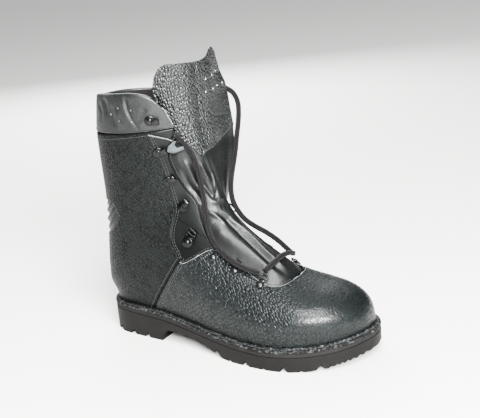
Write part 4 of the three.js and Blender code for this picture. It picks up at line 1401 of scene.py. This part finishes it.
# u, s of the leaf's lower edge and of its top edge.
LEAF_FOOT = [
    (-1, 300), (-0.7, 291), (-0.34, 278), (-0.22, 268), (-0.17, 266.5), (-0.08, 268), (0.05, 269.5),
    (0.9, 283), (1, 284),
]
LEAF_TOP = [
    (-1, 325), (-0.94, 329.5), (-0.85, 333), (-0.7, 335.8), (-0.45, 336.2), (-0.2, 335.8), (0, 335.3),
    (0.14, 335.3), (0.35, 336.7), (0.5, 339.6), (0.56, 340), (0.63, 338.8), (0.69, 336.8),
    (0.73, 333.7), (0.83, 328.3), (0.9, 324), (0.97, 318.5), (1, 313),
]
LEAF_RISE = 0.85
LEAF_DENTS = [
    (3.0, 14.0, [(0.30, 337), (0.29, 320), (0.27, 300), (0.22, 276)]),
    (-4.5, 27.0, [(1.05, 345), (1.05, 322)]),
    (-1.6, 12.0, [(0.05, 337), (0.05, 300), (0.03, 276)]),
    (-0.8, 7.0, [(-0.45, 333), (-0.42, 315), (-0.36, 295)]),
    (-0.7, 8.0, [(0.66, 330), (0.62, 312), (0.55, 295)]),
    (0.6, 5.0, [(-0.80, 330), (-0.78, 316), (-0.74, 303)]),
]

leaf_shares = np.unique(np.concatenate([np.linspace(0, 1, 120), [0.004, 0.01, 0.99, 0.996]]))
leaf_u = np.unique(np.concatenate([np.linspace(-1, 1, 120), [-0.995, -0.985, 0.985, 0.995]]))
leaf_low, leaf_high = along(LEAF_FOOT, 1, leaf_u), along(LEAF_TOP, 1, leaf_u)
leaf_s = leaf_low[None, :] + (leaf_high - leaf_low)[None, :] * leaf_shares[:, None]
leaf_across = np.repeat(leaf_u[None, :], len(leaf_shares), 0)
leaf_height = LEAF_RISE + crease_height(leaf_across, leaf_s, 60, 2.6, LEAF_DENTS)
leaf_edge = np.minimum.reduce([
    (leaf_s - leaf_low[None]) * 2.0, (leaf_high[None] - leaf_s) * 2.0, (1 - np.abs(leaf_across)) * 60,
])
leaf_height -= rolled_over(leaf_edge, 0.7, 0.6)
PEBBLED_LEAF = leather("pebbled_leather_leaf", (0.007, 0.0096, 0.010), (0.013, 0.0168, 0.0174), 0.27,
                       2.4, 1.5, slant=(20, 0, 0), stretch=1.3, shine=0.75)

# y, z of the vents in the leaf's opened half.
LEAF_VENTS = [
    (13.5, 281.2), (27.5, 282.6), (41.5, 284.2), (54.0, 285.6),
    (12.0, 269.3), (26.0, 269.8), (40.0, 270.2), (53.0, 270.6),
]
leaf = soft_sheet("tongue_leaf", tongue_point(leaf_across, leaf_s, leaf_height),
                  [PEBBLED_LEAF, LINING, BLACK_EDGE], 1.6)
vent_y, vent_z = np.array(LEAF_VENTS).T
vent_rows = np.interp(vent_z, [240, 250, 290, 347], [305, 313, 330, 360])
vent_points = tongue_point(vent_y / TONGUE[-1][-1], vent_rows, LEAF_RISE)
# The vent walls: pale raw leather, made far paler than the other cut edges as a painted highlight.
PUNCHED_WALL_PAINTED_LIGHT = cut_edge("punched_wall_painted_light", (0.65, 0.68, 0.69))
punch(leaf, vent_points, [(1, 0, 0)] * len(vent_y), 0.95, 4.0, PUNCHED_WALL_PAINTED_LIGHT)

seam_u = np.linspace(-0.99, 0.99, 260)
leaf_seams = []
for beyond in (1.2, 2.3):
    leaf_seams.append(tongue_point(seam_u, along(LEAF_FOOT, 1, seam_u) + beyond, LEAF_RISE + 0.05))
stitch_rows("leaf_stitching", leaf_seams, "tongue")

# ---------------------------------------------------------------------------------------------------
# Insole: a 5 mm fibreboard that the upper's lower edge is lasted and glued to. Its top is faced with
# grey felt, which shows only from straight above.

SOLE_STATIONS = np.unique(np.concatenate([
    -44 + 24 * (1 - np.cos(np.linspace(0, math.pi / 2, 26))), np.linspace(-20, 240, 180),
    269 - 29 * (1 - np.cos(np.linspace(0, math.pi / 2, 30))),
]).round(5))


def edge_ys(inset, stations):
    """Outer and inner y of the sole's edge, moved in, at stations that are drawn in at the ends."""
    line = sole_outline(0.5, inset)
    low, high = line[:, 0].min(), line[:, 0].max()
    first, last = SOLE_STATIONS[0], SOLE_STATIONS[-1]
    x = low + (stations - first) * (high - low) / (last - first)
    toe = line[:, 0].argmax()
    outer, inner = line[:toe + 1], line[toe:]
    ys = []
    for half in (outer, np.vstack([inner, line[:1]])):
        ordered = half[np.argsort(half[:, 0])]
        ys.append(np.interp(x, ordered[:, 0], ordered[:, 1]))
    return x, ys[0], ys[1]


def face_outwards(piece, merged_within=0.0):
    """Merges a closed shape's doubles and turns its faces out."""
    bm = bmesh.new()
    bm.from_mesh(piece.data)
    if merged_within:
        bmesh.ops.remove_doubles(bm, verts=bm.verts, dist=merged_within)
    bmesh.ops.recalc_face_normals(bm, faces=bm.faces)
    bm.to_mesh(piece.data)
    bm.free()


def sole_layer(name, inset, top, bottom, material, stations=SOLE_STATIONS, side_rows=4, across=12):
    """One layer of the sole. top(x) and bottom(x, y, outer y, inner y) give heights in millimetres."""
    share = np.concatenate([[0, 0.004, 0.012], np.linspace(0.03, 0.97, across), [0.988, 0.996, 1]])
    rise = np.linspace(0, 1, side_rows + 2)[1:-1]
    rings = []
    for x, outer, inner in zip(*edge_ys(inset, stations)):
        y = outer + (inner - outer) * share
        at = np.full(len(y), x)
        low = bottom(at, y, outer, inner)
        high = float(top(x))
        under = np.stack([at, y, low], 1)
        inner_side = [(x, inner, low[-1] + (high - low[-1]) * t) for t in rise]
        over = np.stack([at, y[::-1], np.full(len(y), high)], 1)
        outer_side = [(x, outer, low[0] + (high - low[0]) * t) for t in rise[::-1]]
        rings.append(np.vstack([under, inner_side, over, outer_side]))
    rings = np.array(rings)
    piece = add_piece(name, rings.reshape(-1, 3) * MM, tube_faces(*rings.shape[:2]), [material])
    face_outwards(piece, 0.005 * MM)
    smooth_shaded(piece.data)
    piece.data.set_sharp_from_angle(angle=math.radians(40))
    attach(piece, "root")
    return piece


def felt():
    material, surface = shader("insole_felt", (0.07, 0.07, 0.068), 0.95, 0.1)
    tree = material.node_tree
    fibre = speckle(tree, place_on_piece(tree), 420, 4)
    set_inputs(surface, {"Base Color": two_tone(tree, fibre, (0.03, 0.03, 0.03), (0.13, 0.13, 0.125))})
    return material


insole = sole_layer("insole_board", 10, lambda x: seat_z(x) + 2.2,
                    lambda x, y, a, b: seat_z(x) - 3.2, felt())
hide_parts("insole")

# ---------------------------------------------------------------------------------------------------
# Outsole: one moulding of black rubber with a stepped heel, an arch and V notches that open its side
# edges, ribbed finely where it turns up at the toe and behind the heel.

# x, z of the tread: heel, breast, arch, ball and toe spring.
TREAD = [
    (-50, 2.5), (-36, 0), (35.5, 0), (37, 8), (44, 14), (60, 14.5), (90, 12.5), (108, 7), (124, 1),
    (134, 0), (200, 0), (222, 1.6), (240, 4), (256, 7), (275, 11),
]
NOTCHES = [(116, 9), (153, 10), (196, 10), (231, 10), (-27, 9), (-6, 9), (15, 9)]
NICKS = [(133, 3.5), (174.5, 3.5), (213.5, 3.5)]
NOTCH_REACH = 15
GROOVES = [(158, -44, 34), (184, -44, 38), (209, -38, 40), (14, -20, 20), (-18, -17, 17)]
GROOVE_WIDTH, LUG_DEPTH = 6, 4.5
OUTSOLE_TOP = 8.2
TOOTH_PITCH, TOOTH_DEPTH = 4.0, 1.9


def tread_z(x):
    """The tread's profile, with straight lines between its points as it is cut."""
    rows = np.array(TREAD, float)
    return np.interp(x, rows[:, 0], rows[:, 1])


def tread_bottom(x, y, outer, inner):
    z = tread_z(x)
    rise = np.zeros(len(x))
    for at, width in NOTCHES:
        mouth, root = width / 2 + 1, width * 0.12
        slope = np.clip((mouth - np.abs(x - at)) / (mouth - root), 0, 1) * (LUG_DEPTH + 3) - 3
        reach = NOTCH_REACH * (0.6 if abs(inner - outer) < 60 else 1)
        near = np.clip((reach - np.minimum(y - outer, inner - y)) / 1.2, 0, 1)
        rise = np.maximum(rise, np.clip(slope, 0, LUG_DEPTH) * near)
    near_edge = np.clip((5.0 - np.minimum(y - outer, inner - y)) / 1.2, 0, 1)
    teeth = np.abs((x / TOOTH_PITCH) % 1 - 0.5) * 2
    ends = np.where((x > 240) | (x < -33), 1.0, 0.0)
    rise = np.maximum(rise, TOOTH_DEPTH * np.clip(teeth * 1.8 - 0.5, 0, 1) * near_edge * ends)
    for at, width in NICKS:
        rise = np.maximum(rise, np.clip(1 - np.abs(x - at) * 2 / width, 0, 1) * 1.8 * near_edge)
    for at, low, high in GROOVES:
        wall = np.clip((GROOVE_WIDTH / 2 + 0.3 - np.abs(x - at)) / 0.6, 0, 1)
        ends = np.clip(np.minimum(y - low, high - y) / 0.8, 0, 1)
        rise = np.maximum(rise, LUG_DEPTH * wall * ends)
    return z + rise


def rubber(name, color, light, rough):
    """Moulded rubber: slightly mottled, dusty in patches, with fine tool marks."""
    material, surface = shader(name, color, rough, 0.3)
    tree = material.node_tree
    place = place_on_piece(tree)
    inputs = {"Place": place, "Patch Size": 0.018}
    patches = add_node(tree, "ShaderNodeGroup", inputs, node_tree=HANDLING).outputs["Patches"]
    set_inputs(surface, {
        "Base Color": blended(tree, patches, (*color, 1), (*light, 1)),
        "Roughness": math_node(tree, "MULTIPLY_ADD", patches, 0.2, rough - 0.1),
        "Normal": raised(tree, speckle(tree, place, 900, 3), 0.12),
    })
    return material


def wall_stations():
    """Stations with extra ones at the walls of every notch and groove."""
    extra = []
    for at, width in NOTCHES:
        mouth, root = width / 2 + 1, width * 0.12
        floor_half = mouth - (mouth - root) * 3 / (LUG_DEPTH + 3)
        extra += [at - floor_half, at - root, at + root, at + floor_half]
    for at, _, _ in GROOVES:
        extra += [at + side * (GROOVE_WIDTH / 2 + edge) for side in (-1, 1) for edge in (-0.3, 0.3)]
    extra += [x for x, _ in TREAD[1:-1]]
    extra += [at + side * width / 2 for at, width in NICKS for side in (-1, 0, 1)]
    extra += list(np.arange(240, 267, 0.5)) + list(np.arange(-42, -33, 0.5))
    keep = [x for x in SOLE_STATIONS if min(abs(x - e) for e in extra) > 0.25]
    return np.unique(np.array(keep + extra))


outsole = sole_layer("outsole", 0, lambda x: seat_z(x) - OUTSOLE_TOP, tread_bottom,
                     rubber("outsole_rubber", (0.004, 0.0038, 0.0037), (0.012, 0.0108, 0.0103), 0.6),
                     stations=wall_stations(), side_rows=6, across=60)
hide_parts("outsole")

# ---------------------------------------------------------------------------------------------------
# Midsole: 4 mm of hard rubber glued between the welt and the outsole. Its edge is trimmed flush with
# them, half a millimetre in from the tread.

midsole = sole_layer("midsole", 0.5, lambda x: seat_z(x) - 3.75, lambda x, y, a, b: seat_z(x) - 8.05,
                     rubber("midsole_rubber", (0.008, 0.0077, 0.0076), (0.021, 0.020, 0.019), 0.7))
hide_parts("midsole")

# ---------------------------------------------------------------------------------------------------
# Welt: a 3 mm strip of waxed leather sewn round the upper with heavy thread, with a rolled bead that
# closes the gap against the wet. Its trimmed edge shows raw.

# Distance in from the edge, height over the seat.
WELT_SECTION = [
    (0.0, -3.55), (-0.15, -2.8), (-0.1, -1.6), (0.25, -0.75), (0.9, -0.45), (2.0, -0.42), (2.9, -0.75),
    (3.5, -0.8), (4.1, -0.45), (4.6, 0.2), (5.2, 0.75), (5.9, 0.85), (6.5, 0.5), (7.0, -0.2),
    (8.8, -0.6), (8.8, -3.5),
]


def welt_leather():
    material, surface = shader("waxed_welt", (0.03, 0.029, 0.028), 0.75, 0.3)
    tree = material.node_tree
    fleck = speckle(tree, place_on_piece(tree), 330, 5, 0.7)
    set_inputs(surface, {
        "Base Color": two_tone(tree, fleck, (0.004, 0.004, 0.004), (0.12, 0.125, 0.125), 0.50, 0.72),
        "Normal": raised(tree, fleck, 0.35),
    })
    return material


def swept_round_sole(name, section, step, material):
    """A closed section swept round the sole's edge."""
    rings = []
    for inset, rise in section:
        line = sole_outline(step, inset)
        rings.append(np.column_stack([line, seat_z(line[:, 0]) + rise]))
    rings = np.array(rings).transpose(1, 0, 2)
    faces = tube_faces(*rings.shape[:2], closed=True)
    piece = add_piece(name, rings.reshape(-1, 3) * MM, faces, [material])
    face_outwards(piece)
    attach(piece, "root")
    return piece


welt = swept_round_sole("welt", WELT_SECTION, 1.0, welt_leather())
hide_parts("welt")
welt_line = sole_outline(1.0, 3.2)
welt_line = np.column_stack([welt_line, seat_z(welt_line[:, 0]) - 0.5])
stitch_rows("welt_stitching", [np.vstack([welt_line, welt_line[:1]])], "welt",
            thread=1.0, spacing=4.2, length=3.9)

# ---------------------------------------------------------------------------------------------------
# Lace hooks: pressed steel, black coated, riveted through the facings and collar. Each is a round
# foot with a tab that curls back over the lace; the coating is rubbed bright in speckled patches.

# s, v, kind.
HOOKS = [
    (312, 0.4, "hook"), (291, 0.385, "hook"), (267, 0.345, "hook"), (242, 0.3, "hook"), (213, 0.39, "lock"),
]
HOOK_CURL = [
    (0, 0.2), (5.6, 0.2), (7.4, 1.6), (8, 3.6), (7.2, 5.6), (5, 6.4), (0.6, 6),
    (0.4, 5.1), (4.6, 5.2), (6, 4.6), (6.5, 3.6), (6.1, 2.4), (5, 1.4), (0, 1.4),
]
HOOK_WIDTH = 5.6


def coated_steel(name, color, metallic):
    material, surface = shader(name, color, 0.3, 0.4)
    tree = material.node_tree
    wear = speckle(tree, place_on_piece(tree), 480, 4)
    rubbed = ramp(tree, wear, 0.62, 0.80)
    set_inputs(surface, {
        "Base Color": blended(tree, rubbed, (*color, 1), (0.05, 0.05, 0.053, 1)),
        "Roughness": math_node(tree, "MULTIPLY_ADD", wear, 0.25, 0.2),
        "Normal": raised(tree, wear, 0.05),
        "Metallic": metallic,
        "Coat Weight": 0.3,
        "Coat Roughness": 0.12,
    })
    return material


BLACK_STEEL = coated_steel("black_coated_steel", (0.005, 0.005, 0.0055), 0.35)


def seat_on_boot(s, v, lift):
    """Where a fitting sits: x towards the throat, z out of the leather."""
    out = Vector(last_normal(s, v))
    run = Vector(last_point(s, v * 0.9) - last_point(s, v))
    run = (run - out * run.dot(out)).normalized()
    side = out.cross(run)
    place = Vector(last_point(s, v)) + out * lift
    turn = Matrix((run, side, out)).transposed().to_4x4()
    return Matrix.Translation(place * MM) @ turn @ Matrix.Scale(MM, 4)


def lathed(bm, profile, middle, segments=28):
    """A turned shape about an upright axis through middle; the profile is radius, height."""
    rings = []
    for radius, height in profile:
        if radius < 1e-6:
            rings.append([bm.verts.new((middle[0], middle[1], height))])
            continue
        rings.append([
            bm.verts.new((middle[0] + radius * math.cos(2 * math.pi * k / segments),
                          middle[1] + radius * math.sin(2 * math.pi * k / segments), height))
            for k in range(segments)
        ])
    for low, high in zip(rings[:-1], rings[1:]):
        for k in range(segments):
            after = (k + 1) % segments
            corners = [low[k % len(low)], low[after % len(low)], high[after % len(high)], high[k % len(high)]]
            unique = list(dict.fromkeys(corners))
            if len(unique) > 2:
                bm.faces.new(unique)


def dome(radius, height, foot=0.0):
    """Profile of a domed rivet head with a small flat foot."""
    arc = [(radius * math.cos(a), foot + height * 0.25 + height * 0.75 * math.sin(a))
           for a in np.linspace(0, math.pi / 2, 9)]
    return [(0, foot), (radius * 0.96, foot), (radius, foot + 0.12), *arc[:-1], (0, foot + height)]


def rounded_square(half_x, half_y, corner, middle=(0, 0)):
    """Outline of a square with rounded corners, in steps of a quarter of each corner."""
    outline = []
    for sx, sy, start in ((1, 1, 0), (-1, 1, 90), (-1, -1, 180), (1, -1, 270)):
        for step in range(5):
            angle = math.radians(start + step * 22.5)
            outline.append((middle[0] + (half_x - corner) * sx + corner * math.cos(angle),
                            middle[1] + (half_y - corner) * sy + corner * math.sin(angle)))
    return outline


def wire_square(bm, middle, length, width, wire, tilt):
    """A square ring of round wire with rounded corners, flat in x and y before its tilt."""
    path = rounded_square((length - wire) / 2, (width - wire) / 2, wire * 0.9)
    up, sides = Vector((0, 0, 1)), 10
    turned = Matrix.Rotation(math.radians(tilt), 3, "Y")
    rings = []
    for i, (x, y) in enumerate(path):
        before, after = path[i - 1], path[(i + 1) % len(path)]
        run = Vector((after[0] - before[0], after[1] - before[1], 0)).normalized()
        out = run.cross(up)
        ring = []
        for k in range(sides):
            turn = 2 * math.pi * k / sides
            point = Vector((x, y, 0)) + (out * math.cos(turn) + up * math.sin(turn)) * wire / 2
            ring.append(bm.verts.new(turned @ point + Vector(middle)))
        rings.append(ring)
    for a, b in zip(rings, rings[1:] + rings[:1]):
        for k in range(sides):
            bm.faces.new([a[k], a[(k + 1) % sides], b[(k + 1) % sides], b[k]])


def pressed(bm, outline, low, high, axis="Z"):
    """A plate from an outline, its thickness along z or, for a side profile, along y."""
    layers = []
    for level in (low, high):
        if axis == "Z":
            layers.append([bm.verts.new((x, y, level)) for x, y in outline])
        else:
            layers.append([bm.verts.new((x, level, z)) for x, z in outline])
    bm.faces.new(layers[0][::-1])
    bm.faces.new(layers[1])
    for k in range(len(outline)):
        bm.faces.new([layers[0][k - 1], layers[0][k], layers[1][k], layers[1][k - 1]])


def smooth_profile(points, rounds=2):
    """A closed outline with its corners cut back."""
    line = [Vector(p) for p in points]
    for _ in range(rounds):
        line = [p for a, b in zip(line, line[1:] + line[:1]) for p in (a * 0.8 + b * 0.2, a * 0.2 + b * 0.8)]
    return [tuple(p) for p in line]


def fitting(name, node, build, place, steel):
    """A steel fitting built in its own millimetres and set on the boot."""
    bm = bmesh.new()
    build(bm)
    bmesh.ops.recalc_face_normals(bm, faces=bm.faces)
    piece = piece_of(name, bm, steel)
    edge = piece.modifiers.new("edge", "BEVEL")
    edge.width = 0.22
    edge.segments = 2
    edge.limit_method = "ANGLE"
    edge.angle_limit = math.radians(38)
    baked(piece)
    piece.data.transform(place)
    piece.data.update()
    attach(piece, "root")
    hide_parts(node)
    return piece


def build_hook(bm):
    lathed(bm, [(0, 0), (5.2, 0), (5.4, 0.25), (5.2, 0.9), (4.4, 1.2), (0, 1.2)], (-2, 0))
    lathed(bm, [(0, 1.1), (2.9, 1.1), (2.7, 1.7), (1.7, 2.3), (0.9, 2.35), (0.7, 1.9), (0, 1.85)], (-2, 0))
    pressed(bm, smooth_profile(HOOK_CURL), -HOOK_WIDTH / 2, HOOK_WIDTH / 2, axis="Y")


def build_lock(bm):
    lathed(bm, [(0, 0), (6.0, 0), (6.2, 0.3), (6.0, 1.1), (5.2, 1.6), (0, 1.6)], (-3.4, 0))
    lathed(bm, dome(3.6, 2.3, 1.5), (-4.2, 0))
    lathed(bm, [(0, 3.7), (1.2, 3.7), (1.2, 4.1), (0, 4.1)], (-4.2, 0))
    pressed(bm, rounded_square(6.5, 4.4, 1.6, (2.6, 0)), 0, 1.3)
    for y in (-3.6, 3.6):
        cheek = [(1.0, 1.0), (8.0, 1.0), (8.8, 2.6), (8.4, 5.0), (6.6, 6.0), (4.4, 5.7), (2.2, 3.4)]
        pressed(bm, smooth_profile(cheek, 1), y - 0.8, y + 0.8, axis="Y")
    wire_square(bm, (9.8, 0, 7.4), 11.5, 12.5, 1.9, tilt=-45)


SIDES = (("outer", "lateral", -1), ("inner", "medial", 1))
for label, side, sign in SIDES:
    for number, (s, v, kind) in enumerate(HOOKS, 1):
        build = build_lock if kind == "lock" else build_hook
        place = seat_on_boot(s, v * sign, 1.2 if s > QUARTER_TOP else 0.6)
        fitting(f"{kind}_{label}_{number}", f"{kind}_{side}_{number}", build, place, BLACK_STEEL)

# ---------------------------------------------------------------------------------------------------
# Lace loops: three pairs low on the vamp, each a square of steel wire held by a strap under a domed
# rivet, standing at the throat's edge.

LOOPS = [(182, 176, 0.36), (156, 150, 0.315), (126, 119, 0.285)]
LOOP_REACH = 9.5
WORN_STEEL = coated_steel("worn_grey_steel", (0.022, 0.023, 0.024), 0.6)


def build_loop(bm):
    lathed(bm, dome(4.3, 3.0), (0, 0))
    pressed(bm, rounded_square(4, 2.2, 0.6, (4, 0)), 0, 0.8)
    wire_square(bm, (LOOP_REACH, 0, 1.3), 6.6, 8.2, 1.5, tilt=-10)


for label, side, sign in SIDES:
    for number, (outer_s, inner_s, v) in enumerate(LOOPS, 1):
        place = seat_on_boot(outer_s if sign < 0 else inner_s, v * sign, 0.6)
        fitting(f"loop_{label}_{number}", f"lace_loop_{side}_{number}", build_loop, place, WORN_STEEL)
